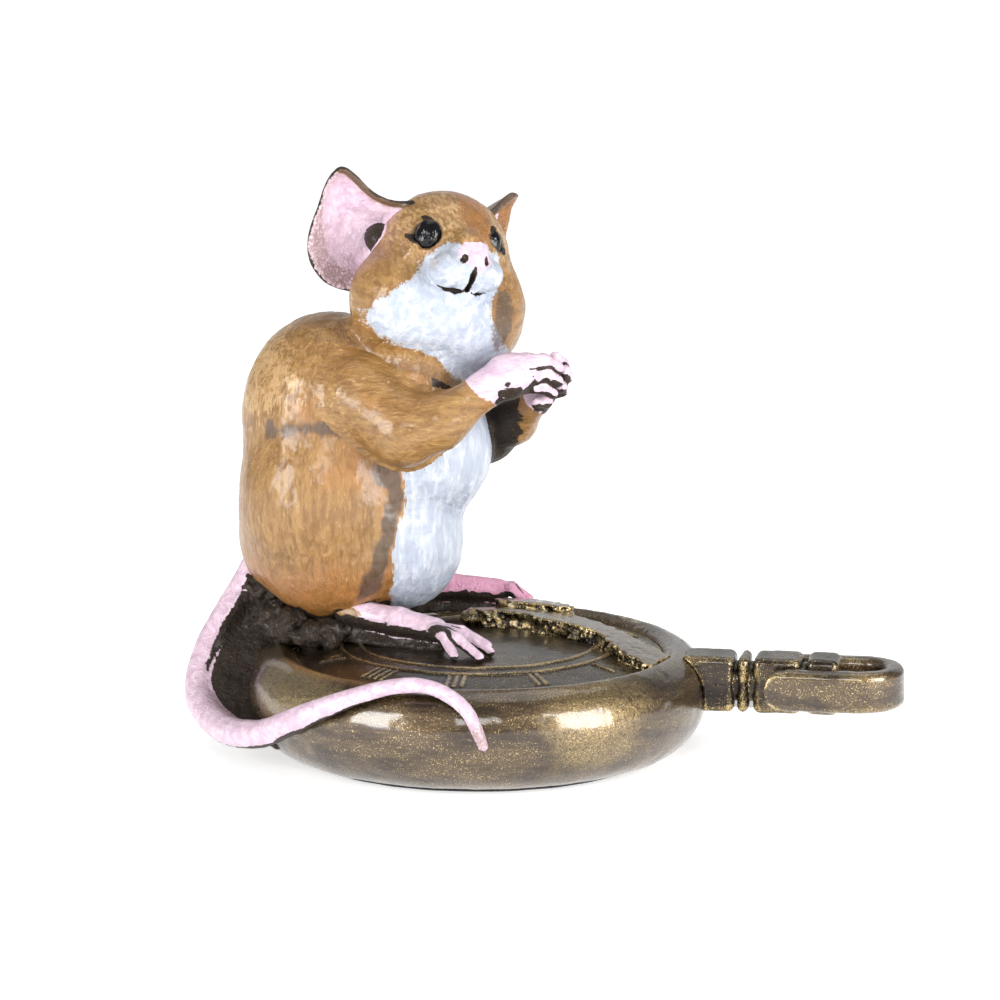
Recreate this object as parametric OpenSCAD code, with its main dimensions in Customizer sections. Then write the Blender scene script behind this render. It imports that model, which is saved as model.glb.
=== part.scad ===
// Painted bronze figurine: a life-size mouse sitting up on a pocket watch with a broken crystal.
// Frame: millimetres, +Z up. The origin is the centre of the felt's underside, on the axis of the
// watch case, and +X runs along the pendant, the crown and the bow.

/* [Watch case] */
// Largest radius of the case, half way up its bulge
case_r = 35; // [34:0.5:36]
// Radius of the flat underside
base_r = 27.5; // [26.5:0.5:28]
// Radius of the crest that frames the dial
crest_r = 30.3; // [30:0.1:30.8]
// Height at which the case is widest
bulge_z = 10; // [9:0.5:10.5]
// Height of the crest above the table
crest_z = 16.6; // [16.2:0.1:17]
// Thickness of the felt under the case
felt_t = 0.8; // [0.5:0.1:1]
// Thickness of the plate that closes the hollow case
plate_t = 1.5; // [1:0.25:2]

/* [Dial] */
// Radius of the dial plate
dial_r = 27.8; // [27.6:0.1:27.9]
// Height of the dial's rim
dial_edge_z = 15.3; // [15:0.1:15.6]
// Height of the middle of the dial, which is gently domed
dial_top_z = 17.3; // [17:0.1:17.6]
// Height by which the rings and numerals stand out of the dial
relief_t = 0.35; // [0.2:0.05:0.5]
// Radius of the inner chapter ring
ring_in_r = 18; // [17:0.25:18.5]
// Radius of the outer chapter ring
ring_out_r = 20.9; // [20.5:0.1:21.2]
// Height of a numeral, measured along the dial's radius
numeral_h = 4; // [3:0.25:4.25]

/* [Pendant and bow] */
// Height of the pendant's axis above the table
pendant_z = 12.1; // [11.5:0.1:12.5]
// Height of the pendant's blocks
pendant_h = 8.5; // [8:0.1:9]
// Width of the pendant's blocks across the bow's pivots
pendant_w = 7.2; // [6.6:0.1:7.4]
// Distance of the bow's pivot from the case's axis
pivot_x = 47.3; // [46.5:0.1:47.5]
// Distance of the bow's far end from the case's axis
bow_end_x = 65; // [64:0.5:66]
// Height of the bow's flat band
bow_h = 6.3; // [6:0.1:6.6]
// Thickness of the bow's band
bow_t = 3.2; // [2.8:0.1:3.4]
// Play between each side of the pendant and the bow
bow_play = 0.3; // [0.25:0.05:0.5]
// Radius of the bow's pivot pins
pin_r = 0.9; // [0.7:0.05:1.1]

/* [Mouse] */
// Turn of the mouse's own frame on the dial, from the pendant's direction
mouse_turn = 8; // [4:1:12]
// Turn of the head towards the mouse's right, from that frame
head_turn = 68; // [62:1:72]
// Tilt of the head towards its left ear
head_tilt = 10.5; // [7:0.5:12]
// Thickness of an ear's shell
ear_t = 1.3; // [1:0.1:1.6]
// Radius of an eye
eye_r = 2.5; // [2.1:0.1:2.7]
// Radius of the tail where it bends away from the rump
tail_r = 2.2; // [1.8:0.1:2.4]

/* [Hidden] */

// Clearances: between glued or screwed pieces, and between a pin and its running bore
fit = 0.05;
run = 0.06;
fine = 96;
soft = 32;
coat = 24;

felt_r = base_r - 0.4;
recess_r = base_r - 1.3;
cavity_r = recess_r - 1.2;
ledge_z = dial_edge_z - 2;
dial_well_r = dial_r + 0.2;
stud_r = 1.5;
bore_x = case_r - 6;
stud_z = pendant_z - 2.6;
bow_in = pendant_w / 2 + bow_play;
bow_out = bow_in + bow_t;

// Plan outlines of what is left of the crystal, counter-clockwise from the rim
shard_front_outline = [[28.6, -7.6], [23.5, -1.5], [19.5, 4.8], [14.5, 9.6], [10.6, 10.8],
    [4.6, 12.2], [1.2, 12], [-0.9, 10.4], [0.6, 8.9], [4.4, 8.5], [7.9, 6.7], [9.4, 3.6],
    [12.5, 2.2], [15.3, 0.5], [17.9, -1.5], [19.5, -6], [22.1, -10.9], [26, -14.4]];
shard_rear_outline = [[14.4, 10.4], [14.6, 13], [12.4, 17], [8.6, 19.2], [4.4, 18.4],
    [2.4, 15.6], [3.2, 13.1], [10.5, 11.6]];

// The mouse's places are in its own frame, which is turned by mouse_turn about the case's axis
stud_places = [[-19.5, 5], [-16.5, 13]];
body_floor = dial_top_z + relief_t + fit;
head_centre = [-5.5, 6, 72.5];
eye_place = [3.9, 4.7, 5.6];
neck_foot = [-13, 8.5, 52];
tail_dowel_at = [-27, 10.5, 30];

// Balls along the limbs, as [x, y, z, radius]: from the shoulder or heel to the wrist or toes
arm_right_balls = [[-18, 1, 55, 6.4], [-11, -3.8, 50.3, 5.1], [-6, -5, 51.8, 4], [0.6, -4.9, 56.2, 2.7]];
palm_right = [[0.6, -4.9, 56.6, 2.7], [4.6, -4.2, 58.6, 3.3], [7.2, -3.4, 59.2, 2.7]];
fingers_right = [[[6.6, -4.6, 60.4, 1.2], [9.8, -3.6, 61, 1.15], [12, -2.4, 59.6, 0.95]],
    [[7.2, -4.6, 58.8, 1.2], [10.2, -3.8, 59, 1.1], [12, -2.8, 57.6, 0.9]],
    [[6.8, -4, 57.2, 1.2], [9.6, -3.6, 57, 1.1], [11.2, -2.8, 55.8, 0.85]]];
arm_left_balls = [[-9, 18, 53, 5], [1.2, 14, 46.6, 4.2], [5.4, 10, 49.3, 3.3], [8.6, 5.8, 52.7, 2.3]];
palm_left = [[9, 5.4, 53.4, 2.2], [10.4, 2.8, 56.4, 2.5]];
fingers_left = [[[11, 2, 57.6, 1.3], [12.8, 0.9, 59.4, 1.1]], [[11.4, 2, 56.4, 1.25], [13.4, 0.8, 57.2, 1.1]],
    [[11, 2, 55.2, 1.2], [12.8, 0.4, 55, 1.05]]];
foot_right_sole = [[-19.5, -1, 21.4, 2], [-12, -3.4, 20.8, 2.1], [-6.5, -5.8, 20, 1.9]];
foot_right_toes = [[1.4, -8, 18.3], [1.8, -11.4, 18.2], [0.2, -14.8, 18.1], [-3.6, -13.8, 18.1]];
foot_left_sole = [[-12, 21, 20.8, 2], [-5, 22.4, 20.8, 2.1], [3, 22.6, 20, 1.9]];
foot_left_toes = [[7, 20.4, 18.9], [7.8, 22.3, 18.8], [7.2, 24.2, 18.8]];

// An ear's outline in its own plane: X towards the head and Y up, with its point at the top
ear_outline = [[-2.4, 8.7], [-4.8, 3.4], [-6.3, -0.4], [-6.3, -3.6], [-4.1, -7.5], [-1.4, -8.8],
    [2.2, -8.9], [6, -5.6], [8.8, 0], [8.4, 2.8], [2.4, 5.2]];
ear_places = [[-19, 8, 79.5], [-0.3, 17, 75.2]];
ear_turns = [6, -110];
ear_leans = [0, 20];

// The tail's centre line, as [x, y, z, radius], from the rump down and round the case's side,
// over its crest and down again to the tip
tail_route = [[-34, 12, 26, 2.6], [-36, 12, 22.6, 2.5], [-38.4, 11, 19, 2.4], [-41, 9, 15, 2.2],
    [-42.5, 6, 11.2, tail_r], [-42.6, 2, 8, tail_r], [-40.6, -4, 6, tail_r],
    [-37.2, -10.5, 5.4, tail_r], [-32.2, -18.6, 7, 2.1], [-27.2, -25.4, 10.6, 1.9],
    [-23.5, -28, 12.8, 1.65], [-18.9, -29.9, 15, 1.4], [-14.2, -30.8, 16.6, 1.25],
    [-11, -31.2, 17.2, 1.2], [-8, -31.8, 17.3, 1.15], [-5, -33.1, 16.6, 1.1],
    [-1.8, -35.2, 14.6, 1.05], [-0.2, -36.4, 11.9, 0.95], [0.8, -36.5, 9.4, 0.8]];
tail_steps = 3;
tail_sides = 12;
tail_rings = [for (k = [0:(len(tail_route) - 1) * tail_steps]) k / tail_steps];

bronze = [0.30, 0.25, 0.18];
fur = [0.74, 0.51, 0.25];
skin = [0.94, 0.80, 0.88];

// Height of the dial's plain surface at radius r
function dial_z(r) = dial_top_z - (dial_top_z - dial_edge_z) * pow(r / dial_r, 3);

// Outline of the case from the edge of its underside over the bulge to the crest
function bulge_low() = [for (a = [0:10:90])
    [base_r + (case_r - base_r) * sin(a), bulge_z - (bulge_z - felt_t) * cos(a)]];
function bulge_high() = [for (a = [9:9:81])
    let (axis_r = crest_r - 0.8)
    [axis_r + (case_r - axis_r) * cos(a), bulge_z + (crest_z - bulge_z) * sin(a)]];

// ---------------------------------------------------------------- watch

module felt_pad() {
    color("black") cylinder(r = felt_r, h = felt_t, $fn = fine);
}

module base_plate() {
    color(bronze) translate([0, 0, felt_t]) cylinder(r = recess_r - fit, h = plate_t, $fn = fine);
}

module case_shell() {
    color(bronze) difference() {
        union() {
            rotate_extrude($fn = fine) polygon(concat(
                bulge_low(), bulge_high(),
                [[crest_r - 0.4, crest_z - 0.1], [dial_well_r + 0.3, dial_edge_z + 0.5],
                 [dial_well_r, dial_edge_z - 0.1], [dial_well_r, ledge_z], [cavity_r, ledge_z],
                 [cavity_r, ledge_z - 1.4], [27.5, ledge_z - 1.4], [30.6, 10.9], [31.6, 9.2],
                 [30.8, 6.4], [28.2, 4], [cavity_r, felt_t + plate_t], [recess_r, felt_t + plate_t],
                 [recess_r, felt_t]]));
            // A boss gives the pendant's nut a flat seat
            translate([bore_x - 1.4, 0, stud_z]) rotate([0, 90, 0]) cylinder(r = 2.8, h = 4.2, $fn = soft);
        }
        stud_bore();
    }
}

// The case's outside, filled in, for pieces that are shaped to sit against it
module case_solid(grow = 0) {
    rotate_extrude($fn = fine) polygon(concat(
        [[0, felt_t - 1]], [[base_r + grow, felt_t - 1]],
        [for (p = bulge_low()) p + [grow, 0]], [for (p = bulge_high()) p + [grow, grow]],
        [[crest_r - 0.4, crest_z - 0.1 + grow], [dial_well_r + 0.3, dial_edge_z + 0.5 + grow],
         [dial_r, dial_edge_z + relief_t + grow]],
        [for (r = [26:-4:2]) [r, dial_z(r) + relief_t + grow]],
        [[0, dial_top_z + relief_t + grow]]));
}

module numeral_bar(x, tilt) {
    translate([x, 0, 0]) rotate([0, 0, tilt]) translate([-0.25, -numeral_h / 2, 0])
        cube([0.5, numeral_h, 2]);
}

// One Roman numeral as a row of strokes: 0 is upright, and the others lean by their own angle
module numeral(strokes) {
    pitch = 1.15;
    for (i = [0:len(strokes) - 1])
        numeral_bar((i - (len(strokes) - 1) / 2) * pitch, strokes[i]);
}

module dial() {
    numerals = [[0], [0, 0], [0, 0, 0], [0, 0, 0, 0], [16, -16], [16, -16, 0],
        [16, -16, 0, 0], [16, -16, 0, 0, 0], [0, 26, -26], [26, -26], [26, -26, 0],
        [26, -26, 0, 0]];
    numeral_r = (ring_out_r + dial_r - 1) / 2;
    color(bronze) difference() {
        union() {
            rotate_extrude($fn = fine) polygon(concat(
                [[0, ledge_z], [dial_r, ledge_z], [dial_r, dial_edge_z]],
                [for (r = [26:-4:2]) [r, dial_z(r)]], [[0, dial_top_z]]));
            for (r = [ring_in_r, ring_out_r])
                rotate_extrude($fn = fine) translate([r - 0.35, dial_z(r) - 0.5])
                    square([0.7, 0.5 + relief_t]);
            // The numerals start with one o'clock, counted from twelve at the pendant
            for (i = [0:11])
                rotate([0, 0, -30 * (i + 1)]) translate([numeral_r, 0, dial_z(numeral_r + 1.5) - 1.8])
                    rotate([0, 0, -90]) numeral(numerals[i]);
        }
        in_mouse_frame() for (p = stud_places)
            translate([p[0], p[1], 0]) cylinder(r = stud_r + fit, h = 30, $fn = soft);
    }
}

// The crystal was a shallow dome: height of its outside above the table at radius r
function crystal_z(r, lift, sag_r = 120) = lift - sag_r + sqrt(sag_r * sag_r - r * r);

module crystal_dome(lift, thick) {
    rotate_extrude($fn = 2 * fine) polygon(concat(
        [for (r = [0:4:32]) [r, crystal_z(r, lift)]],
        [for (r = [32:-4:0]) [r, crystal_z(r, lift) - thick]]));
}

module glass_shard(outline, lift, thick) {
    color([0.42, 0.36, 0.27]) difference() {
        intersection() {
            in_mouse_frame() translate([0, 0, dial_edge_z])
                linear_extrude(height = 6) polygon(outline);
            crystal_dome(lift, thick);
        }
        case_solid(fit);
    }
}

module glass_shard_front() { glass_shard(shard_front_outline, 20.3, 2.6); }
module glass_shard_rear() { glass_shard(shard_rear_outline, 20.9, 2.6); }

// ---------------------------------------------------------------- pendant, crown and bow

// Cross-section of the pendant's blocks: a rectangle with round corners, drawn in Y and Z
module pendant_outline(inset = 0) {
    corner = 1.6;
    half_w = pendant_w / 2 - inset;
    half_h = pendant_h / 2 - inset;
    square([2 * (half_h - corner), 2 * half_w], center = true);
    square([2 * half_h, 2 * (half_w - corner)], center = true);
    for (x = [-1, 1], y = [-1, 1])
        translate([x * (half_h - corner), y * (half_w - corner)]) circle(r = corner, $fn = soft);
}

// A block of the pendant from x0 to x1, with stepped edges, without its bore
module pendant_block(x0, x1) {
    for (step = [[0.6, 0], [0.25, 0.25], [0, 0.6]])
        translate([x0 + step[0], 0, pendant_z]) rotate([0, 90, 0])
            linear_extrude(height = x1 - x0 - 2 * step[0]) pendant_outline(step[1]);
}

module stud_bore() {
    translate([bore_x - 4, 0, stud_z]) rotate([0, 90, 0])
        cylinder(r = stud_r + fit, h = 25.5 + fit, $fn = soft);
}

module pendant_neck() {
    color(bronze) difference() {
        union() {
            pendant_block(pivot_x - 16, pivot_x - 7.9);
            translate([pivot_x - 9, 0, pendant_z]) rotate([0, 90, 0])
                cylinder(r = 3, h = 1.45, $fn = soft);
        }
        case_solid(fit);
        stud_bore();
    }
}

module pendant_collar() {
    color(bronze) difference() {
        union() {
            pendant_block(pivot_x - 7.4, pivot_x - 5.6);
            translate([pivot_x - 7.5, 0, pendant_z]) rotate([0, 90, 0])
                cylinder(r = 3, h = 2.4, $fn = soft);
        }
        stud_bore();
    }
}

module bow_barrel() {
    color(bronze) difference() {
        union() {
            pendant_block(pivot_x - 5, pivot_x + 2.2);
            translate([pivot_x - 5.05, 0, pendant_z]) rotate([0, 90, 0])
                cylinder(r = 3, h = 7.8, $fn = soft);
        }
        stud_bore();
        for (side = [-1, 1])
            translate([pivot_x, side * (pendant_w / 2 - 2), pendant_z]) rotate([-90 * side, 0, 0])
                cylinder(r = pin_r + run, h = 3, $fn = soft);
    }
}

module crown() {
    color(bronze) difference() {
        union() {
            pendant_block(pivot_x + 3, pivot_x + 7.9);
            translate([pivot_x + 2.8, 0, pendant_z]) rotate([0, 90, 0])
                cylinder(r = 3, h = 2, $fn = soft);
        }
        stud_bore();
    }
}

// The stud runs low through every block, under the bow's pins
module pendant_stud() {
    color("dimgray") translate([bore_x - 4, 0, stud_z]) rotate([0, 90, 0])
        cylinder(r = stud_r, h = 25.5, $fn = soft);
}

module stud_nut() {
    color("dimgray") translate([bore_x - 3.1, 0, stud_z]) rotate([0, 90, 0]) difference() {
        rotate([0, 0, 30]) cylinder(r = 2.6, h = 1.6, $fn = 6);
        translate([0, 0, -1]) cylinder(r = stud_r + fit, h = 5, $fn = soft);
    }
}

// Plan of the bow: two straight arms joined by a round end
module bow_plan(half, x_end) {
    translate([pivot_x - 6, -half]) square([x_end - half - pivot_x + 6, 2 * half]);
    translate([x_end - half, 0]) circle(r = half, $fn = fine);
}

module bow() {
    color(bronze) difference() {
        intersection() {
            // Three layers round the band's long edges
            for (layer = [[0, 0.9], [0.45, 0.35], [1, 0]])
                translate([0, 0, pendant_z - bow_h / 2 + layer[0]])
                    linear_extrude(height = bow_h - 2 * layer[0]) difference() {
                        bow_plan(bow_out - layer[1], bow_end_x - layer[1]);
                        bow_plan(bow_in, bow_end_x - bow_t);
                    }
            // The arms end in half circles round the pivots
            translate([pivot_x, 10, pendant_z]) rotate([90, 0, 0]) union() {
                cylinder(r = bow_h / 2, h = 20, $fn = soft * 2);
                translate([0, -bow_h, 0]) cube([bow_end_x, 2 * bow_h, 20]);
            }
        }
        for (side = [-1, 1])
            translate([pivot_x, side * (bow_in - 1), pendant_z]) rotate([-90 * side, 0, 0])
                cylinder(r = pin_r, h = bow_t, $fn = soft);
    }
}

// Both pins are driven into the arms and turn in the barrel
module bow_pins() {
    color("dimgray") for (side = [-1, 1])
        translate([pivot_x, side * (pendant_w / 2 - 1.9), pendant_z]) rotate([-90 * side, 0, 0])
            cylinder(r = pin_r, h = 1.9 + bow_play + bow_t - 1, $fn = soft);
}

// ---------------------------------------------------------------- mouse

module in_mouse_frame() { rotate([0, 0, mouse_turn]) children(); }

module ball(x, y, z, r) { translate([x, y, z]) sphere(r = r, $fn = coat); }

module in_head_frame() {
    in_mouse_frame() translate(head_centre) rotate([0, 0, -head_turn]) rotate([-head_tilt, 0, 0])
        children();
}

module torso_mass() {
    in_mouse_frame() hull() {
        ball(-21.5, 10.5, 39.5, 14.8);
        ball(-24, 10, 50, 12.3);
        ball(-21, 9.5, 55.2, 10.6);
        ball(-25.6, 10.5, 31, 10.4);
        ball(-8, 9, 46.5, 10);
        ball(-11, 9.5, 31, 8.2);
        ball(-13.5, 9.5, 24.6, 5);
        ball(-9.5, 7, 56, 8.5);
    }
}

module haunch(side) {
    in_mouse_frame() translate([0, 10.5, 0]) scale([1, side, 1]) hull() {
        ball(-24.2, 4.4, 40.5, 11.9);
        ball(-24.2, 4.6, 35, 11);
        ball(-19.5, 8.2, 30, 6.6);
        ball(-23.5, 6, 27.5, 7);
    }
}

module body_seat() {
    in_mouse_frame() hull() {
        translate([-22, 10.5, 29]) cylinder(r = 12.5, h = 1, $fn = soft);
        translate([-19.5, 10.5, body_floor]) cylinder(r = 9, h = 1, $fn = soft);
    }
}

module skull_mass() {
    in_head_frame() hull() {
        ball(-2.8, 0.4, 2, 10.3);
        for (side = [-1, 1]) ball(0.2, side * 7.1, -4.4, 6.9);
        ball(4.6, 0, -3.6, 6.2);
    }
}

module head_mass() {
    skull_mass();
    in_head_frame() {
        hull() {
            ball(3.5, 0, 2.2, 6.8);
            ball(9, 0, 3.2, 3.9);
            ball(10.9, 0, 5, 2);
        }
        hull() {
            ball(0.2, 0, -9, 7.4);
            ball(0.4, -3.6, -8.6, 6.2);
            ball(2.2, 4.7, -8, 6.3);
        }
    }
}

module mouse_body() {
    color(fur) difference() {
        union() {
            torso_mass();
            haunch(-1);
            haunch(1);
            body_seat();
        }
        head_mass();
        in_mouse_frame() for (p = stud_places)
            translate([p[0], p[1], 0]) cylinder(r = stud_r + fit, h = 30 + fit, $fn = soft);
        neck_bore();
        tail_bore();
    }
}

module body_studs() {
    color("dimgray") in_mouse_frame() for (p = stud_places)
        translate([p[0], p[1], ledge_z - 3.4])
            cylinder(r = stud_r, h = 30 - ledge_z + 3.4, $fn = soft);
}

module body_nuts() {
    color("dimgray") in_mouse_frame() for (p = stud_places)
        translate([p[0], p[1], ledge_z - 2.6]) difference() {
            union() {
                cylinder(r = 2.9, h = 2, $fn = 6);
                translate([0, 0, 2]) cylinder(r = 3.4, h = 0.6 - fit / 2, $fn = soft);
            }
            translate([0, 0, -1]) cylinder(r = stud_r + fit, h = 6, $fn = soft);
        }
}

// The dowel holds the head on the body, along a line from the chest into the skull
module neck_line(r, extra) {
    in_mouse_frame() translate(neck_foot + [0, 0, -extra]) rotate([0, 12, 0])
        cylinder(r = r, h = 20 + 2 * extra, $fn = soft);
}
module neck_bore() { neck_line(1.5 + fit, fit); }
module neck_dowel() { color("dimgray") neck_line(1.5, 0); }

module eye_ball(side, grow = 0) {
    in_head_frame() translate([eye_place[0], side * eye_place[1], eye_place[2]])
        sphere(r = eye_r + grow, $fn = soft);
}

module head() {
    color(fur) difference() {
        head_mass();
        eye_ball(-1, 0.03);
        eye_ball(1, 0.03);
        neck_bore();
    }
}

module eye_right() { color("black") eye_ball(-1); }
module eye_left() { color("black") eye_ball(1); }

// An ear is a cupped leaf with a pointed top, seen here from behind
module ear_leaf(size, depth, r) {
    hull() {
        for (p = ear_outline)
            translate([p[0] * size, 0, p[1] * size]) sphere(r = r, $fn = 12);
        translate([0.8, depth, -1]) sphere(r = r * 2.2, $fn = 12);
    }
}

// side 0 is the right ear, which faces ahead, and side 1 the left ear, which lies back
module ear(side) {
    color(skin) difference() {
        in_mouse_frame() translate(ear_places[side]) rotate([0, ear_leans[side], 0])
            rotate([0, 0, ear_turns[side]]) mirror([0, side, 0]) difference() {
                ear_leaf(1, 2.4, ear_t / 2);
                translate([0, -ear_t - 0.5, 0]) ear_leaf(0.84, 2.4, ear_t / 2);
            }
        skull_mass();
    }
}

module ear_right() { ear(0); }
module ear_left() { ear(1); }

// A limb is a chain of round-ended links between balls given as [x, y, z, r]
module limb(balls, grow = 0) {
    in_mouse_frame() for (i = [0:len(balls) - 2]) hull() for (ball = [balls[i], balls[i + 1]])
        translate([ball[0], ball[1], ball[2]]) sphere(r = ball[3] + grow, $fn = 16);
}

module paw(palm, fingers, grow = 0) {
    limb(palm, grow);
    for (finger = fingers) limb(finger, grow);
}

module body_mass() {
    torso_mass();
    haunch(-1);
    haunch(1);
    body_seat();
    head_mass();
}

module arm_right() {
    color(fur) difference() {
        union() {
            limb(arm_right_balls);
            paw(palm_right, fingers_right);
        }
        body_mass();
    }
}

module arm_left() {
    color(fur) difference() {
        union() {
            limb(arm_left_balls);
            paw(palm_left, fingers_left);
        }
        body_mass();
        paw(palm_right, fingers_right, 2 * fit);
    }
}

module foot(sole, toes) {
    ball_joint = sole[2];
    color(skin) difference() {
        union() {
            limb(sole);
            for (toe = toes)
                limb([[ball_joint[0], ball_joint[1] + (toe[1] - ball_joint[1]) * 0.25, ball_joint[2], 1.5],
                      [toe[0], toe[1], toe[2], 0.95]]);
            // The web of bronze between the sole and the dial
            in_mouse_frame() hull() for (i = [0:2])
                translate([sole[i][0], sole[i][1], body_floor - 1])
                    cylinder(r = 1.1, h = sole[i][2] - body_floor + 0.6, $fn = 12);
        }
        case_solid(fit);
        body_mass();
    }
}

module foot_right() { foot(foot_right_sole, foot_right_toes); }
module foot_left() { foot(foot_left_sole, foot_left_toes); }

function spline(a, b, c, d, t) = 0.5 * (2 * b + (c - a) * t + (2 * a - 5 * b + 4 * c - d) * t * t
    + (3 * b - a - 3 * c + d) * t * t * t);
function tail_at(t) = let (n = len(tail_route) - 1, i = max(0, min(floor(t), n - 1)))
    spline(tail_route[max(i - 1, 0)], tail_route[i], tail_route[i + 1],
        tail_route[min(i + 2, n)], t - i);
function unit(v) = v / norm(v);
function xyz(p) = [p[0], p[1], p[2]];

module tail_tube() {
    points = [for (t = tail_rings)
        let (p = tail_at(t), ahead = tail_at(t + 0.02), behind = tail_at(t - 0.02),
             along = unit(xyz(ahead) - xyz(behind)), across = unit(cross(along, [0.3, -0.2, 1])),
             up = cross(across, along))
        for (j = [0:tail_sides - 1])
            xyz(p) + p[3] * (across * cos(360 * j / tail_sides) + up * sin(360 * j / tail_sides))];
    rings = len(tail_rings);
    faces = concat(
        [[for (j = [tail_sides - 1:-1:0]) j]],
        [for (i = [0:rings - 2], j = [0:tail_sides - 1])
            let (k = (j + 1) % tail_sides, here = i * tail_sides, next = here + tail_sides)
            [here + j, here + k, next + k, next + j]],
        [[for (j = [0:tail_sides - 1]) (rings - 1) * tail_sides + j]]);
    polyhedron(points, faces);
}

module tail() {
    color(skin) difference() {
        in_mouse_frame() union() {
            tail_tube();
            // The web that joins the bend of the tail to the side of the case
            for (corners = [[[-38.5, 10.5, 18], [-40.8, 4, 8.4], [-31, 8, 13], [-32, 2, 8]],
                            [[-40.8, 4, 8.4], [-37.4, -9, 5.6], [-32, 2, 8], [-30, -10, 5.4]]])
                hull() for (corner = corners) translate(corner) sphere(r = 1, $fn = 16);
        }
        case_solid(fit);
        body_mass();
        tail_bore();
    }
}

module tail_line(r, extra) {
    in_mouse_frame() translate(tail_dowel_at + [extra, 0, extra]) rotate([0, 228, 0])
        cylinder(r = r, h = 12 + 2 * extra, $fn = soft);
}
module tail_bore() { tail_line(0.8 + fit, fit); }
module tail_dowel() { color("dimgray") tail_line(0.8, 0); }

felt_pad();
base_plate();
case_shell();
dial();
glass_shard_front();
glass_shard_rear();
pendant_neck();
pendant_collar();
bow_barrel();
crown();
pendant_stud();
stud_nut();
bow();
bow_pins();
mouse_body();
body_studs();
body_nuts();
head();
neck_dowel();
ear_right();
ear_left();
eye_right();
eye_left();
arm_right();
arm_left();
foot_right();
foot_left();
tail();
tail_dowel();
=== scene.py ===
"""Mouse figurine on a pocket watch: the looks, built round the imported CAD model.

Lengths inside the modelling code are millimetres; a finished mesh is scaled to metres. The mouse is
modelled in its own frame, which is the object's frame turned by MOUSE_TURN about Z.
"""

import bpy
import numpy as np
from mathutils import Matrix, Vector


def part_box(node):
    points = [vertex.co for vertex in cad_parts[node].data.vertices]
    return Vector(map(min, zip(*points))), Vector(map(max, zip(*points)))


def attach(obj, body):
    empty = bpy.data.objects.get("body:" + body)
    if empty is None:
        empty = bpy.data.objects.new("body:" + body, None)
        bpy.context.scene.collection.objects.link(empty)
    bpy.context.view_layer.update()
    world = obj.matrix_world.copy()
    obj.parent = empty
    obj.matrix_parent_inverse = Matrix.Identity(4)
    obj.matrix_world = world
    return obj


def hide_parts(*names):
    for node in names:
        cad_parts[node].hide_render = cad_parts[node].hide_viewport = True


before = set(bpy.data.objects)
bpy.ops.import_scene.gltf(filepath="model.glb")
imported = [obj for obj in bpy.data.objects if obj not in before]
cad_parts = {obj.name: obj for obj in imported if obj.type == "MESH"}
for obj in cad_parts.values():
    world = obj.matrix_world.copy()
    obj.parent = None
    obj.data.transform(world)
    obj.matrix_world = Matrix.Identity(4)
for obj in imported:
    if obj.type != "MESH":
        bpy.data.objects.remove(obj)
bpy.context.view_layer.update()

MM = 0.001
MOUSE_TURN = np.radians(8)
# How many points a field is worked out for at a time
CHUNK = 400000

# ---- noise and fields


def zero(p):
    return np.zeros(len(p))


def turned(p, angle, u, v):
    """Points p turned by angle from axis u towards axis v."""
    c, s = np.cos(angle), np.sin(angle)
    q = p.copy()
    q[:, u], q[:, v] = c * p[:, u] - s * p[:, v], s * p[:, u] + c * p[:, v]
    return q


def turn_z(p, angle):
    return turned(p, angle, 0, 1)


# The corners of a unit cell
CORNERS = [(dx, dy, dz) for dx in (0, 1) for dy in (0, 1) for dz in (0, 1)]


def lattice_noise(p, per_mm, seed=0):
    """Smooth noise from -1 to 1, with one cell every 1 / per_mm millimetres."""
    q = p * per_mm + seed * 17.3
    base = np.floor(q).astype(np.int64)
    f = q - base
    w = f * f * (3 - 2 * f)
    total = zero(p)
    for dx, dy, dz in CORNERS:
        n = (base[:, 0] + dx) * 73856093 ^ (base[:, 1] + dy) * 19349663
        n = n ^ (base[:, 2] + dz) * 83492791 ^ (seed + 1) * 2654435761
        n = (n ^ (n >> 13)) * 1274126177
        value = ((n ^ (n >> 16)) & 0xFFFF) / 32767.5 - 1
        weight = (w[:, 0] if dx else 1 - w[:, 0]) * (w[:, 1] if dy else 1 - w[:, 1])
        total += value * weight * (w[:, 2] if dz else 1 - w[:, 2])
    return total


def fractal(p, per_mm, octaves=3, seed=0):
    """Several octaves of noise, from about -1 to 1."""
    total = zero(p)
    size = 1.0
    for k in range(octaves):
        total += lattice_noise(p, per_mm * 2**k, seed + k) * size
        size *= 0.5
    return total / 1.5


def smooth(x, low, high):
    """0 below low, 1 above high and an S curve between; low may be the larger one."""
    t = np.clip((x - low) / (high - low), 0, 1)
    return t * t * (3 - 2 * t)


def join(a, b, k):
    """The union of two fields with a fillet about k wide."""
    h = np.clip(0.5 + 0.5 * (b - a) / k, 0, 1)
    return b * (1 - h) + a * h - k * h * (1 - h)


def join_all(fields, k):
    total = fields[0]
    for field in fields[1:]:
        total = join(total, field, k)
    return total


def carve(a, b, k):
    """Field a with field b cut out of it, and the cut's edge rounded by k."""
    return -join(-a, b, k)


def highest(*fields):
    """The intersection of several fields."""
    return np.max(fields, axis=0)


def meet(part, other, k, reach, depth):
    """A part with a fillet k wide, up to reach from it, where it runs to a depth inside another."""
    return highest(join(part, other, k), part - reach, -(other + depth))


def ball(p, centre, r):
    return np.linalg.norm(p - np.array(centre), axis=1) - r


def blob(p, centre, radii, lean=0.0):
    """An ellipsoid, leaning by that many degrees about Y: positive moves its top towards +X."""
    q = turned(p - np.array(centre), np.radians(lean), 0, 2)
    r = np.array(radii)
    k0 = np.linalg.norm(q / r, axis=1)
    k1 = np.linalg.norm(q / (r * r), axis=1) + 1e-9
    return k0 * (k0 - 1) / k1


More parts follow.
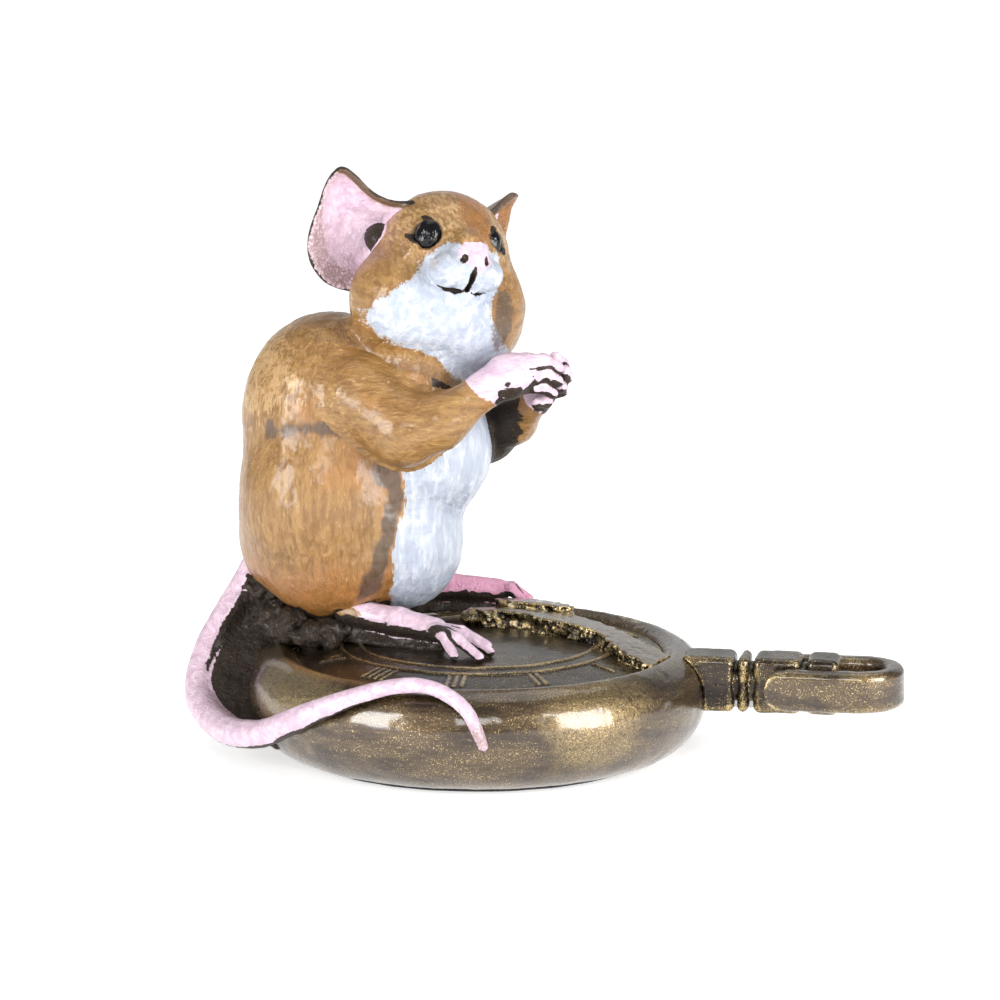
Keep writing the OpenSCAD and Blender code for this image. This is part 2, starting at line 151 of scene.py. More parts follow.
def bone(p, a, b):
    """A round-ended cone between balls a and b, each [x, y, z, r]."""
    start, end = np.array(a[:3]), np.array(b[:3])
    along = end - start
    t = np.clip((p - start) @ along / (along @ along), 0, 1)
    return np.linalg.norm(p - start - t[:, None] * along, axis=1) - (a[3] + t * (b[3] - a[3]))


def chain(p, balls, k=0.8):
    return join_all([bone(p, a, b) for a, b in zip(balls, balls[1:])], k)


# ---- from a field to a mesh


def sample(field, low, counts, step):
    """The field on a lattice: coarsely everywhere, and point by point near the surface."""
    ratio, near_cells = 4, 2.2
    coarse_counts = [-(-n // ratio) + 1 for n in counts]
    coarse_axes = [low[i] + step * ratio * (np.arange(coarse_counts[i]) + 0.5) for i in range(3)]
    grid = np.stack(np.meshgrid(*coarse_axes, indexing="ij"), axis=-1).reshape(-1, 3)
    coarse = field(grid).reshape(coarse_counts)
    fine = coarse.repeat(ratio, 0).repeat(ratio, 1).repeat(ratio, 2)
    fine = fine[: counts[0], : counts[1], : counts[2]].copy()
    near = np.argwhere(np.abs(fine) < step * ratio * near_cells)
    for start in range(0, len(near), CHUNK):
        part = near[start : start + CHUNK]
        fine[tuple(part.T)] = field(low + step * part)
    return fine


def surface_net(values, low, step):
    """Vertices and quads of the surface where the sampled field is zero."""
    inside = values < 0
    nx, ny, nz = values.shape
    corner_count = np.zeros((nx - 1, ny - 1, nz - 1), int)
    for dx, dy, dz in CORNERS:
        corner_count += inside[dx : nx - 1 + dx, dy : ny - 1 + dy, dz : nz - 1 + dz]
    active = (corner_count > 0) & (corner_count < 8)
    index = np.full(active.shape, -1)
    cells = np.argwhere(active)
    index[active] = np.arange(len(cells))
    total = np.zeros((len(cells), 3))
    hits = np.zeros(len(cells))
    units = np.eye(3, dtype=int)
    for axis in range(3):
        u, v = units[(axis + 1) % 3], units[(axis + 2) % 3]
        for du in (0, 1):
            for dv in (0, 1):
                a = cells + du * u + dv * v
                va, vb = values[tuple(a.T)], values[tuple((a + units[axis]).T)]
                cut = (va < 0) != (vb < 0)
                t = np.where(cut, va / np.where(cut, va - vb, 1), 0)
                total += np.where(cut[:, None], a + t[:, None] * units[axis], 0)
                hits += cut
    points = low + step * total / hits[:, None]
    quads = []
    for axis in range(3):
        u, v = units[(axis + 1) % 3], units[(axis + 2) % 3]
        span = [slice(1, n - 1) for n in values.shape]
        ahead = span.copy()
        ahead[axis] = slice(2, values.shape[axis])
        here, there = inside[tuple(span)], inside[tuple(ahead)]
        edges = np.argwhere(here != there) + 1
        flip = here[tuple((edges - 1).T)]
        ring = [index[tuple((edges - shift).T)] for shift in (0 * u, u, u + v, v)]
        quad = np.stack(ring, axis=1)
        quad[~flip] = quad[~flip][:, ::-1]
        quads.append(quad)
    return points, np.concatenate(quads)


def settle(field, points, step, rounds=2):
    """Moves the points onto the field's surface."""
    h = step * 0.35
    for _ in range(rounds):
        value = field(points)
        slope = np.stack(
            [(field(points + h * e) - field(points - h * e)) / (2 * h) for e in np.eye(3)], axis=1
        )
        size = np.maximum((slope**2).sum(axis=1), 0.2)
        move = -slope * (value / size)[:, None]
        length = np.linalg.norm(move, axis=1)
        points = points + move * np.minimum(1, step / np.maximum(length, 1e-9))[:, None]
    return points


def directed_edges(faces):
    """Every side of every face, both ways round, as pairs of vertex arrays."""
    for i in range(faces.shape[1]):
        a, b = faces[:, i], faces[:, (i + 1) % faces.shape[1]]
        yield a, b
        yield b, a


def edge_counts(faces):
    """How many directed edges leave each vertex."""
    return 2.0 * np.bincount(faces.ravel())


def neighbour_sum(faces, values):
    total = np.zeros_like(values)
    for x, y in directed_edges(faces):
        np.add.at(total, x, values[y])
    return total


def relax(points, quads):
    """Evens out the spacing of the vertices."""
    return 0.5 * (points + neighbour_sum(quads, points) / edge_counts(quads)[:, None])


def largest_part(points, quads):
    """The biggest connected part of a mesh, without stray crumbs."""
    label = np.arange(len(points))
    while True:
        lowest = label[quads].min(axis=1)
        merged = label.copy()
        for i in range(4):
            np.minimum.at(merged, quads[:, i], lowest)
        merged = merged[merged]
        if (merged == label).all():
            break
        label = merged
    parts, counts = np.unique(label[quads[:, 0]], return_counts=True)
    quads = quads[label[quads[:, 0]] == parts[counts.argmax()]]
    used, renumbered = np.unique(quads, return_inverse=True)
    return points[used], renumbered.reshape(quads.shape)


def vertex_normals(points, faces):
    normals = np.zeros_like(points)
    across = np.cross(
        points[faces[:, 2]] - points[faces[:, 0]], points[faces[:, -1]] - points[faces[:, 1]]
    )
    for i in range(faces.shape[1]):
        np.add.at(normals, faces[:, i], across)
    return normals / np.maximum(np.linalg.norm(normals, axis=1), 1e-12)[:, None]


def convexity(points, faces, spread=4):
    """How far each vertex stands out from its neighbours, in 1 / mm, averaged over a few rings."""
    normals = vertex_normals(points, faces)
    total = np.zeros(len(points))
    for x, y in directed_edges(faces):
        d = points[x] - points[y]
        np.add.at(total, x, (normals[x] * d).sum(axis=1) / np.maximum((d * d).sum(axis=1), 1e-9))
    count = edge_counts(faces)
    value = total / count
    for _ in range(spread):
        value = 0.5 * value + 0.5 * neighbour_sum(faces, value) / count
    return value


def place_piece(name, mesh, material, body, node):
    """Puts a mesh into the scene as a piece that stands in for a CAD node."""
    mesh.materials.append(material)
    mesh.update()
    piece = bpy.data.objects.new(name, mesh)
    bpy.context.scene.collection.objects.link(piece)
    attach(piece, body)
    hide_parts(node)


def add_mask(mesh, name, values):
    """A vertex attribute for the materials: one number to a point, or a vector."""
    kind, member = ("FLOAT_VECTOR", "vector") if values.ndim == 2 else ("FLOAT", "value")
    mesh.attributes.new(name, kind, "POINT").data.foreach_set(member, values.ravel())


def sculpt(node, field, low, high, step, material, paint=None, turn=0.0, body="figurine"):
    """Meshes a field inside a box, in place of a CAD node; paint(points, normals) gives its masks."""
    low, high = np.array(low, float), np.array(high, float)
    counts = [int(np.ceil((high[i] - low[i]) / step)) + 1 for i in range(3)]
    points, quads = largest_part(*surface_net(sample(field, low, counts, step), low, step))
    points = settle(field, relax(points, quads), step)
    masks = {"convex": convexity(points, quads), "flow": points * MM}
    if paint:
        masks.update(paint(points, vertex_normals(points, quads)))
    mesh = bpy.data.meshes.new(node + "_cast")
    mesh.from_pydata((turn_z(points, turn) * MM).tolist(), [], quads.tolist())
    mesh.polygons.foreach_set("use_smooth", [True] * len(mesh.polygons))
    for mask, values in masks.items():
        add_mask(mesh, mask, np.asarray(values, np.float32))
    place_piece(node + "_cast", mesh, material, body, node)


# ---- materials


class Shader:
    """A small builder of one node material."""

    def __init__(self, name):
        self.material = bpy.data.materials.new(name)
        self.material.use_nodes = True
        self.tree = self.material.node_tree
        self.bsdf = self.tree.nodes["Principled BSDF"]
        self.place = self.node("ShaderNodeTexCoord").outputs["Object"]

    def node(self, kind, inputs=None, **settings):
        made = self.tree.nodes.new(kind)
        for key, value in settings.items():
            setattr(made, key, value)
        for key, value in (inputs or {}).items():
            self.feed(made.inputs[key], value)
        return made

    def feed(self, socket, value):
        if isinstance(value, bpy.types.NodeSocket):
            self.tree.links.new(value, socket)
        else:
            socket.default_value = value

    def set(self, **values):
        for key, value in values.items():
            self.feed(self.bsdf.inputs[key.replace("_", " ")], value)

    def math(self, operation, a, b):
        return self.node("ShaderNodeMath", {0: a, 1: b}, operation=operation).outputs[0]

    def times(self, a, b):
        return self.math("MULTIPLY", a, b)

    def plus(self, a, b):
        return self.math("ADD", a, b)

    def greater(self, a, b):
        return self.math("MAXIMUM", a, b)

    def mask(self, name):
        return self.node("ShaderNodeAttribute", attribute_name=name).outputs["Fac"]

    def flow(self):
        """Places drawn out along the brush strokes, from a vertex attribute."""
        return self.node("ShaderNodeAttribute", attribute_name="flow").outputs["Vector"]

    def noise(self, per_mm, detail=3.0, stretch=(1, 1, 1), rough=0.55, warp=0.0, place=None):
        """Noise with one cell every 1 / per_mm millimetres, stretched along an axis."""
        mapping = self.node("ShaderNodeMapping", {"Vector": place or self.place, "Scale": stretch})
        inputs = {"Vector": mapping.outputs[0], "Scale": per_mm / MM, "Detail": detail, "Roughness": rough,
                  "Distortion": warp}
        return self.node("ShaderNodeTexNoise", inputs).outputs["Fac"]

    def band(self, value, low, high):
        """0 at low and 1 at high, with an S curve between."""
        made = self.node(
            "ShaderNodeMapRange",
            {"Value": value, "From Min": low, "From Max": high},
            interpolation_type="SMOOTHSTEP",
        )
        return made.outputs["Result"]

    def mix(self, fac, a, b):
        """Between two colours."""
        return self.node("ShaderNodeMix", {0: fac, 6: a, 7: b}, data_type="RGBA").outputs[2]

    def blend(self, fac, a, b):
        """Between two numbers."""
        return self.node("ShaderNodeMix", {0: fac, 2: a, 3: b}, data_type="FLOAT").outputs[0]

    def bump(self, height, distance):
        inputs = {"Height": height, "Strength": 1.0, "Distance": distance * MM}
        return self.node("ShaderNodeBump", inputs).outputs[0]

    def total(self, *pairs):
        """The sum of values, each times its weight."""
        parts = [self.times(value, weight) for value, weight in pairs]
        made = parts[0]
        for part in parts[1:]:
            made = self.plus(made, part)
        return made


def colour(red, green, blue):
    """A linear colour from 0 to 255 display values."""
    return (*[(v / 255) ** 2.2 for v in (red, green, blue)], 1.0)


def bronze_material():
    """Dark brown patina with gold rubbed on the high spots and darker patina in the hollows; on the case and
    dial some gold and paleness is painted highlight.
    """
    s = Shader("bronze")
    fine, wide = s.noise(1.6, 5), s.noise(0.14, 4, stretch=(0.7, 0.7, 3))
    speck = s.noise(5.0, 2, rough=0.7)
    brushed = s.noise(1.4, 4, stretch=(0.25, 0.25, 1.6))
    dark = s.mix(s.band(wide, 0.35, 0.65), colour(58, 46, 34), colour(92, 75, 54))
    dark = s.mix(s.band(fine, 0.45, 0.75), dark, colour(80, 64, 46))
    # Paler patina where the mask says: shard tops, and a painted sheen on the case's left shoulder.
    dark = s.mix(s.mask("pale"), dark, colour(112, 99, 82))
    gold = s.mix(s.band(speck, 0.4, 0.7), colour(158, 132, 84), colour(232, 208, 150))
    raised = s.band(s.plus(s.mask("convex"), s.times(fine, 0.2)), 0.2, 0.5)
    rub = s.times(raised, s.band(s.plus(speck, wide), 0.92, 1.12))
    dusting = s.times(s.band(speck, 0.56, 0.68), s.band(s.plus(wide, brushed), 0.86, 1.12))
    rub = s.greater(rub, s.times(dusting, 0.8))
    grain = s.times(s.plus(fine, speck), 0.5)
    # More gold where the mask is high: rubbed gold, and on the case and dial painted highlight too.
    rub = s.greater(rub, s.times(s.mask("gilt_and_sheen"), s.band(grain, 0.36, 0.54)))
    hollow = s.greater(s.band(s.mask("convex"), -0.05, -0.35), s.mask("broken"))
    base = s.mix(hollow, dark, colour(26, 21, 17))
    s.set(Base_Color=s.mix(rub, base, gold))
    s.set(Metallic=s.blend(rub, 0.8, 0.95))
    s.set(Roughness=s.blend(s.band(brushed, 0.3, 0.7), 0.26, 0.42))
    s.set(Coat_Weight=s.blend(s.mask("broken"), 0.85, 0.2), Coat_Roughness=0.14, Coat_IOR=1.65)
    s.set(Normal=s.bump(s.total((fine, 1.2), (speck, 0.6), (brushed, 0.3)), 0.11))
    return s.material


def paint_material():
    """Brushed ochre fur paint over bronze, with white, pink, dark metal and painted shade areas from vertex
    masks.
    """
    s = Shader("brushed_paint")
    flow = s.flow()
    stroke, hair = s.noise(0.7, 5, rough=0.6, warp=0.5, place=flow), s.noise(2.2, 4, rough=0.6, place=flow)
    fine, dab = s.noise(4.0, 3, rough=0.7), s.noise(0.45, 4, warp=0.6)
    fur = s.mix(s.band(stroke, 0.34, 0.66), colour(128, 91, 45), colour(160, 121, 69))
    fur = s.mix(s.times(s.band(hair, 0.5, 0.8), 0.5), fur, colour(186, 150, 99))
    fur = s.mix(s.times(s.band(hair, 0.46, 0.26), 0.5), fur, colour(104, 74, 40))
    pale = s.band(s.plus(s.plus(dab, s.times(s.mask("pale"), 0.35)), hair), 1.12, 1.4)
    fur = s.mix(s.times(pale, 0.75), fur, colour(196, 160, 112))
    rust = s.times(s.mask("rust"), s.band(stroke, 0.25, 0.6))
    fur = s.mix(s.times(rust, 0.5), fur, colour(158, 92, 40))
    edge = s.times(s.plus(hair, -0.5), 1.1)
    white = s.band(s.plus(s.mask("white"), s.times(edge, 1.5)), 0.42, 0.6)
    chalk = s.mix(s.band(stroke, 0.4, 0.66), colour(168, 176, 192), colour(200, 205, 214))
    chalk = s.mix(s.times(s.band(dab, 0.56, 0.72), 0.5), chalk, colour(160, 172, 190))
    worn = s.times(s.band(s.mask("white"), 0.98, 0.6), s.band(dab, 0.4, 0.6))
    chalk = s.mix(s.times(worn, 0.5), chalk, colour(176, 160, 134))
    pink = s.band(s.plus(s.mask("pink"), s.times(edge, 0.4)), 0.45, 0.58)
    skin = s.mix(s.band(stroke, 0.35, 0.65), colour(202, 172, 191), colour(228, 202, 217))
    skin = s.mix(s.times(s.mask("flush"), 0.8), skin, colour(212, 138, 168))
    skin = s.mix(s.times(s.mask("mauve"), s.band(hair, 0.3, 0.6)), skin, colour(160, 134, 132))
    # Dark metal colour: unpainted bronze, and also painted shade in the creases between digits and under the
    # chin.
    bare_and_shade = s.band(s.plus(s.mask("bare_and_shade"), edge), 0.45, 0.66)
    metal = s.mix(s.band(fine, 0.55, 0.75), colour(50, 42, 36), colour(124, 102, 74))
    base = s.mix(pink, s.mix(white, fur, chalk), skin)
    base = s.mix(s.times(s.band(fine, 0.66, 0.76), 0.5), base, colour(84, 72, 64))
    # Painted shade: darker in creases, on undersides, round the eyes and where parts meet, darker still where
    # the mask is stronger.
    painted_shade = s.band(s.plus(s.mask("painted_shade"), s.times(edge, 1.3)), 0.3, 0.8)
    painted_shade_tone = s.mix(s.band(s.mask("painted_shade"), 0.45, 0.85), colour(120, 88, 62), colour(66, 54, 46))
    base = s.mix(s.times(painted_shade, 0.8), base, painted_shade_tone)
    s.set(Base_Color=s.mix(bare_and_shade, base, metal))
    s.set(Metallic=s.times(bare_and_shade, 0.5))
    s.set(Roughness=s.plus(s.blend(s.band(fine, 0.3, 0.7), 0.34, 0.5), s.times(bare_and_shade, 0.2)))
    s.set(Coat_Weight=s.blend(bare_and_shade, 0.55, 0.15), Coat_Roughness=0.2)
    s.set(Normal=s.bump(s.total((stroke, 0.7), (hair, 0.55), (dab, 0.6), (fine, 0.22)), 0.5))
    return s.material


def enamel_material():
    s = Shader("black_enamel")
    dust = s.noise(3.0, 3)
    s.set(Base_Color=s.mix(s.band(dust, 0.5, 0.8), (0.004, 0.004, 0.005, 1), (0.02, 0.02, 0.024, 1)))
    s.set(Roughness=s.blend(s.band(dust, 0.4, 0.8), 0.1, 0.22), Specular_IOR_Level=0.35)
    s.set(Normal=s.bump(s.noise(0.9, 2), 0.25))
    return s.material


def felt_material():
    s = Shader("felt")
    fibre = s.noise(7.0, 4, rough=0.7)
    s.set(Base_Color=s.mix(fibre, (0.006, 0.006, 0.007, 1), (0.03, 0.03, 0.032, 1)))
    s.set(Roughness=0.95, Sheen_Weight=0.4, Normal=s.bump(fibre, 0.2))
    return s.material


def steel_material():
    s = Shader("steel")
    grain = s.noise(2.0, 3, stretch=(1, 1, 0.1))
    s.set(Base_Color=s.mix(grain, (0.4, 0.4, 0.41, 1), (0.6, 0.6, 0.61, 1)))
    s.set(Metallic=1.0, Roughness=s.blend(grain, 0.28, 0.42))
    return s.material


BRONZE = bronze_material()
PAINT = paint_material()
ENAMEL = enamel_material()
FELT = felt_material()
STEEL = steel_material()

# ---- the watch

CASE_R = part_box("case_shell")[1][0] / MM
CREST_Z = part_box("case_shell")[1][2] / MM
BASE_R = 27.5
BULGE_Z = 10
CREST_R = 30.3
FELT_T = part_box("felt_pad")[1][2] / MM
DIAL_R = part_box("dial")[1][0] / MM
DIAL_TOP_Z = 17.3
DIAL_EDGE_Z = 15.3
SEAT_Z = DIAL_EDGE_Z - 1.5
RELIEF = 0.35
RING_RADII = (18.0, 20.9)
# Middles of the case's gold patches: rubbed gold with painted highlight over it.
GOLD_AND_SHEEN_LEFT, GOLD_AND_SHEEN_RIGHT = (-24.5, -20.5, 15), (22, -26, 12)
NUMERAL_H = 4.0


def dial_height(r):
    return DIAL_TOP_Z - (DIAL_TOP_Z - DIAL_EDGE_Z) * np.minimum(r / DIAL_R, 1) ** 3


def case_field(p):
    """The outside of the case: a fat ring whose section is two quarter ellipses."""
    r = np.hypot(p[:, 0], p[:, 1])
    low_side = p[:, 2] < BULGE_Z
    axis_r = np.where(low_side, BASE_R, CREST_R - 0.8)
    half_h = np.where(low_side, BULGE_Z - FELT_T, CREST_Z - BULGE_Z)
    u = np.maximum(r - axis_r, 0) / (CASE_R - axis_r)
    v = (p[:, 2] - BULGE_Z) / half_h
    k0 = np.hypot(u, v)
    k1 = np.hypot(u / (CASE_R - axis_r), v / half_h) + 1e-9
    return k0 * (k0 - 1) / k1


def lumps(p, size, per_mm, seed):
    return size * fractal(p, per_mm, 3, seed)


def case_shell_field(p):
    """The case without the well that holds the dial."""
    r = np.hypot(p[:, 0], p[:, 1])
    well_edge = np.maximum(r - DIAL_R - 0.3, SEAT_Z - p[:, 2])
    slope = np.maximum(r - DIAL_R - 2.3 + (CREST_Z - p[:, 2]) * 1.6, 0)
    well = np.minimum(well_edge, np.where(p[:, 2] > SEAT_Z, slope, 9.0))
    solid = case_field(p) + lumps(p, 0.12, 0.16, 3) + lumps(p, 0.05, 0.5, 4)
    solid = np.maximum(solid, FELT_T - p[:, 2])
    hollow = np.maximum(r - (DIAL_R - 3), p[:, 2] - SEAT_Z)
    return carve(carve(solid, well, 0.5), hollow, 0.1)


def case_paint(p, n):
    """More gold on the shoulder inside the tail's bend and on the right, partly rubbed gold and partly
    painted highlight; the left patch is also paler, a painted sheen.
    """
    left = smooth(ball(p, GOLD_AND_SHEEN_LEFT, 0) + 4 * fractal(p, 0.3, 2, 18), 12, 5)
    right = smooth(ball(p, GOLD_AND_SHEEN_RIGHT, 0) + 4 * fractal(p, 0.3, 2, 19), 12, 5)
    return {"gilt_and_sheen": 0.6 * left + 0.35 * right, "pale": 0.8 * left}


def build_case():
    box = CASE_R + 1
    sculpt("case_shell", case_shell_field, (-box, -box, 0), (box, box, CREST_Z + 1), 0.42, BRONZE,
           case_paint)


NUMERALS = [(0,), (0, 0), (0, 0, 0), (0, 0, 0, 0), (16, -16), (16, -16, 0), (16, -16, 0, 0),
            (16, -16, 0, 0, 0), (0, 26, -26), (26, -26), (26, -26, 0), (26, -26, 0, 0)]


def bar_field(x, y, lean, half_w, half_h):
    c, s = np.cos(np.radians(lean)), np.sin(np.radians(lean))
    u, v = c * x + s * y, -s * x + c * y
    return np.maximum(np.abs(u) - half_w, np.abs(v) - half_h)


def dial_relief(p):
    """Height of the rings and numerals above the dial's plain surface."""
    r = np.hypot(p[:, 0], p[:, 1])
    ridge = np.full(len(p), 9.0)
    for ring in RING_RADII:
        ridge = np.minimum(ridge, np.abs(r - ring) - 0.22)
    middle = (RING_RADII[1] + DIAL_R - 1) / 2
    for hour, strokes in enumerate(NUMERALS, 1):
        angle = np.radians(-30 * hour)
        q = turn_z(p, -angle)
        x, y = q[:, 1], q[:, 0] - middle
        for i, lean in enumerate(strokes):
            shift = (i - (len(strokes) - 1) / 2) * 1.15
            ridge = np.minimum(ridge, bar_field(x + shift, y, lean, 0.2, NUMERAL_H / 2))
    return RELIEF * smooth(ridge, 0.3, -0.1)


def dial_field(p):
    r = np.hypot(p[:, 0], p[:, 1])
    top = dial_height(r) + dial_relief(p) + lumps(p * [1, 1, 0], 0.1, 0.25, 5)
    return highest((p[:, 2] - top) * 0.9, r - DIAL_R - 0.25, SEAT_Z - p[:, 2])


def dial_paint(p, n):
    raised = smooth(dial_relief(p), 0.1, 0.25) * smooth(fractal(p, 0.2, 2, 16), -0.6, 0.1)
    # Rubbed gold on the raised rings and numerals, kept to the right as painted highlight.
    return {"gilt_and_sheen": raised * smooth(p[:, 0], -14, 6), "broken": (1 - raised) * 0.65}


def build_dial():
    sculpt("dial", dial_field, (-29, -29, 13), (29, 29, 19), 0.26, BRONZE, dial_paint)


def build_felt():
    """A thin disc whose edge is a little ragged."""
    # The edge's rings from the bottom up: share of the radius and of the thickness
    edge = [(0.985, 0.0), (1.0, 0.25), (1.0, 0.8), (0.98, 1.0)]
    r_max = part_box("felt_pad")[1][0] / MM
    count = 180
    angle = np.arange(count) * 2 * np.pi / count
    circle = np.stack([np.cos(angle), np.sin(angle), zero(angle)], axis=1)
    ragged_r = 1 - 0.006 * (1 + lattice_noise(circle, 9, 4))
    rings = [r_max * share * ragged_r[:, None] * circle + [0, 0, FELT_T * height] for share, height in edge]
    points = np.concatenate([[[0, 0, 0]], *rings, [[0, 0, FELT_T]]])
    last, top = len(points) - 1 - count, len(points) - 1
    steps = [(i, (i + 1) % count) for i in range(count)]
    faces = [[row + i, row + j, row + count + j, row + count + i]
             for row in range(1, last, count) for i, j in steps]
    faces += [[0, 1 + j, 1 + i] for i, j in steps]
    faces += [[top, last + i, last + j] for i, j in steps]
    mesh = bpy.data.meshes.new("felt_disc")
    mesh.from_pydata((points * MM).tolist(), [], faces)
    place_piece("felt_disc", mesh, FELT, "figurine", "felt_pad")


# ---- crystal

SHARD_FRONT = [(28.9, -7.6), (23.5, -1.5), (19.5, 4.8), (14.5, 9.6), (10.6, 10.8), (4.6, 12.2),
               (1.2, 12), (-0.9, 10.4), (0.6, 8.9), (4.4, 8.5), (7.9, 6.7), (9.4, 3.6), (12.5, 2.2),
               (15.3, 0.5), (17.9, -1.5), (19.5, -6), (22.1, -10.9), (26, -14.8)]
SHARD_REAR = [(14.4, 10.2), (14.6, 13), (12.4, 17), (8.6, 19.2), (4.4, 18.4), (2.4, 15.6),
              (3.2, 13.1), (10.5, 11.4)]


# Where the domes of the two shards would be highest, over the middle of the dial
FRONT_TOP_Z, REAR_TOP_Z = 20.3, 21.3
DOME_R = 120


def outline_field(p, outline):
    """Signed distance in plan to a closed outline."""
    pts = np.array(outline, float)
    nearest = np.full(len(p), 1e9)
    inside = np.zeros(len(p), bool)
    for (x1, y1), (x2, y2) in zip(pts, np.roll(pts, -1, axis=0)):
        ex, ey = x2 - x1, y2 - y1
        t = np.clip(((p[:, 0] - x1) * ex + (p[:, 1] - y1) * ey) / (ex * ex + ey * ey), 0, 1)
        nearest = np.minimum(nearest, np.hypot(p[:, 0] - x1 - t * ex, p[:, 1] - y1 - t * ey))
        crosses = (y1 > p[:, 1]) != (y2 > p[:, 1])
        x_at = x1 + (p[:, 1] - y1) * ex / (ey if ey else 1e-9)
        inside ^= crosses & (p[:, 0] < x_at)
    return np.where(inside, -nearest, nearest)


TIP_LUMP = ((-0.2, 11.2, 18.3), (2.7, 1.9, 1.4))


def shard_field(p, outline, top_z):
    dome = np.linalg.norm(p - [0, 0, top_z - DOME_R], axis=1) - DOME_R
    r = np.hypot(p[:, 0], p[:, 1])
    plan = outline_field(p, outline) + 0.7 * fractal(p, 0.8, 3, 11)
    under = dial_height(r) - p[:, 2] - 0.1
    body = carve(highest(dome, under, r - CREST_R + 0.1), -plan, 0.2)
    return body + 0.1 * fractal(p, 1.1, 2, 12)


def shard_paint(p, n):
    """Grey-brown on top; black with gold and bright flecks on the broken edges."""
    edge = smooth(n[:, 2], 0.75, 0.45)
    flecks = smooth(fractal(p * [1, 1, 0.6], 1.3, 2, 13), 0.05, 0.35)
    rim = smooth(n[:, 2], 0.93, 0.8) * smooth(fractal(p, 0.5, 2, 14), -0.3, 0.1)
    return {"pale": 1 - edge, "broken": edge * (1 - flecks),
            "gilt_and_sheen": np.maximum(edge * flecks, 0.9 * rim * (1 - edge))}


def build_shards():
    def front_field(p):
        lump = np.maximum(blob(p, *TIP_LUMP) + 0.4 * fractal(p, 0.7, 2, 15), DIAL_TOP_Z - 0.2 - p[:, 2])
        return join(shard_field(p, SHARD_FRONT, FRONT_TOP_Z), lump, 0.5)

    def rear_field(p):
        return shard_field(p, SHARD_REAR, REAR_TOP_Z)

    sculpt("glass_shard_front", front_field, (-5, -17, 14), (31, 15, 22), 0.22, BRONZE, shard_paint,
           MOUSE_TURN)
    sculpt("glass_shard_rear", rear_field, (-1, 7, 14), (18, 22, 23), 0.22, BRONZE, shard_paint,
           MOUSE_TURN)


# ---- pendant and bow

PENDANT_Z = 12.1
PENDANT_H = 8.5
PENDANT_W = 7.2
PIVOT_X = 47.3
BOW_END_X = 65.0
BOW_H = 6.3
BOW_T = 3.2
BOW_IN = PENDANT_W / 2 + 0.3
BOW_ROUND = 1.3
BLOCK_ROUND = 1.1
CORE_R = 3.1
# Where each block of the pendant starts and ends along X
BLOCKS = {"pendant_neck": (PIVOT_X - 16, PIVOT_X - 7.9), "pendant_collar": (PIVOT_X - 7.4, PIVOT_X - 5.6),
          "bow_barrel": (PIVOT_X - 5, PIVOT_X + 2.2), "crown": (PIVOT_X + 3, PIVOT_X + 7.9)}


def rounded_box(p, centre, half, r):
    """A box in as many dimensions as p has, with its corners rounded by r."""
    q = np.abs(p - np.array(centre)) - (np.array(half) - r)
    return np.linalg.norm(np.maximum(q, 0), axis=1) + np.minimum(q.max(axis=1), 0) - r


def block_field(p, x0, x1):
    """One block of the pendant, a little worn and with a mould seam at its middle height."""
    half = ((x1 - x0) / 2, PENDANT_W / 2, PENDANT_H / 2)
    body = rounded_box(p, ((x0 + x1) / 2, 0, PENDANT_Z), half, BLOCK_ROUND)
    seam = 0.06 * np.exp(-(((p[:, 2] - PENDANT_Z - 0.3) / 0.25) ** 2))
    return body + lumps(p, 0.09, 0.5, 7) + seam


def neck_field(p):
    return carve(block_field(p, *BLOCKS["pendant_neck"]), case_field(p) - 0.1, 0.1)


def core_field(p, x0, x1):
    """The round core that shows in the grooves between the blocks."""
    radial = np.hypot(p[:, 1], p[:, 2] - PENDANT_Z) - CORE_R
    return highest(radial, x0 - p[:, 0], p[:, 0] - x1)


def pendant_paint(p, n):
    return {"broken": 0.45 + 0.35 * smooth(fractal(p, 0.3, 2, 20), -0.3, 0.3)}


def build_pendant():
    low_z, high_z = PENDANT_Z - PENDANT_H / 2 - 1, PENDANT_Z + PENDANT_H / 2 + 1
    side = PENDANT_W / 2 + 1
    for name, (x0, x1) in BLOCKS.items():
        if name == "pendant_neck":
            field = neck_field
        else:
            def field(p, x0=x0, x1=x1):
                return join(block_field(p, x0, x1), core_field(p, x0 - 0.9, x1 - 0.5), 0.2)
        sculpt(name, field, (x0 - 1.5, -side, low_z), (x1 + 1, side, high_z), 0.2, BRONZE, pendant_paint)


def bow_field(p):
    """A flat band bent into a loop: straight arms and a round end."""
    turn_x = BOW_END_X - BOW_IN - BOW_T
    out = np.where(p[:, 0] > turn_x, np.hypot(p[:, 0] - turn_x, p[:, 1]), np.abs(p[:, 1]))
    height = p[:, 2] - PENDANT_Z
    section = np.stack([out, height], axis=1)
    band = rounded_box(section, (BOW_IN + BOW_T / 2, 0), (BOW_T / 2, BOW_H / 2), BOW_ROUND)
    start = np.where(p[:, 0] < PIVOT_X, np.hypot(p[:, 0] - PIVOT_X, height) - BOW_H / 2, -9.0)
    return carve(band, -start, 0.5) + lumps(p, 0.09, 0.4, 8)


def build_bow():
    half = BOW_IN + BOW_T + 1
    sculpt("bow", bow_field, (PIVOT_X - 5, -half, PENDANT_Z - 4.5), (BOW_END_X + 1, half, PENDANT_Z + 4.5),
           0.22, BRONZE, body="bow")


# ---- the mouse's fields

HEAD_CENTRE = np.array([-5.5, 6, 72.5])
HEAD_TURN = np.radians(-68)
HEAD_TILT = np.radians(-10.5)


def to_head(p):
    """Points in the head's frame: +X to the nose, +Y to the left ear, +Z up."""
    return turned(turn_z(p - HEAD_CENTRE, -HEAD_TURN), -HEAD_TILT, 1, 2)


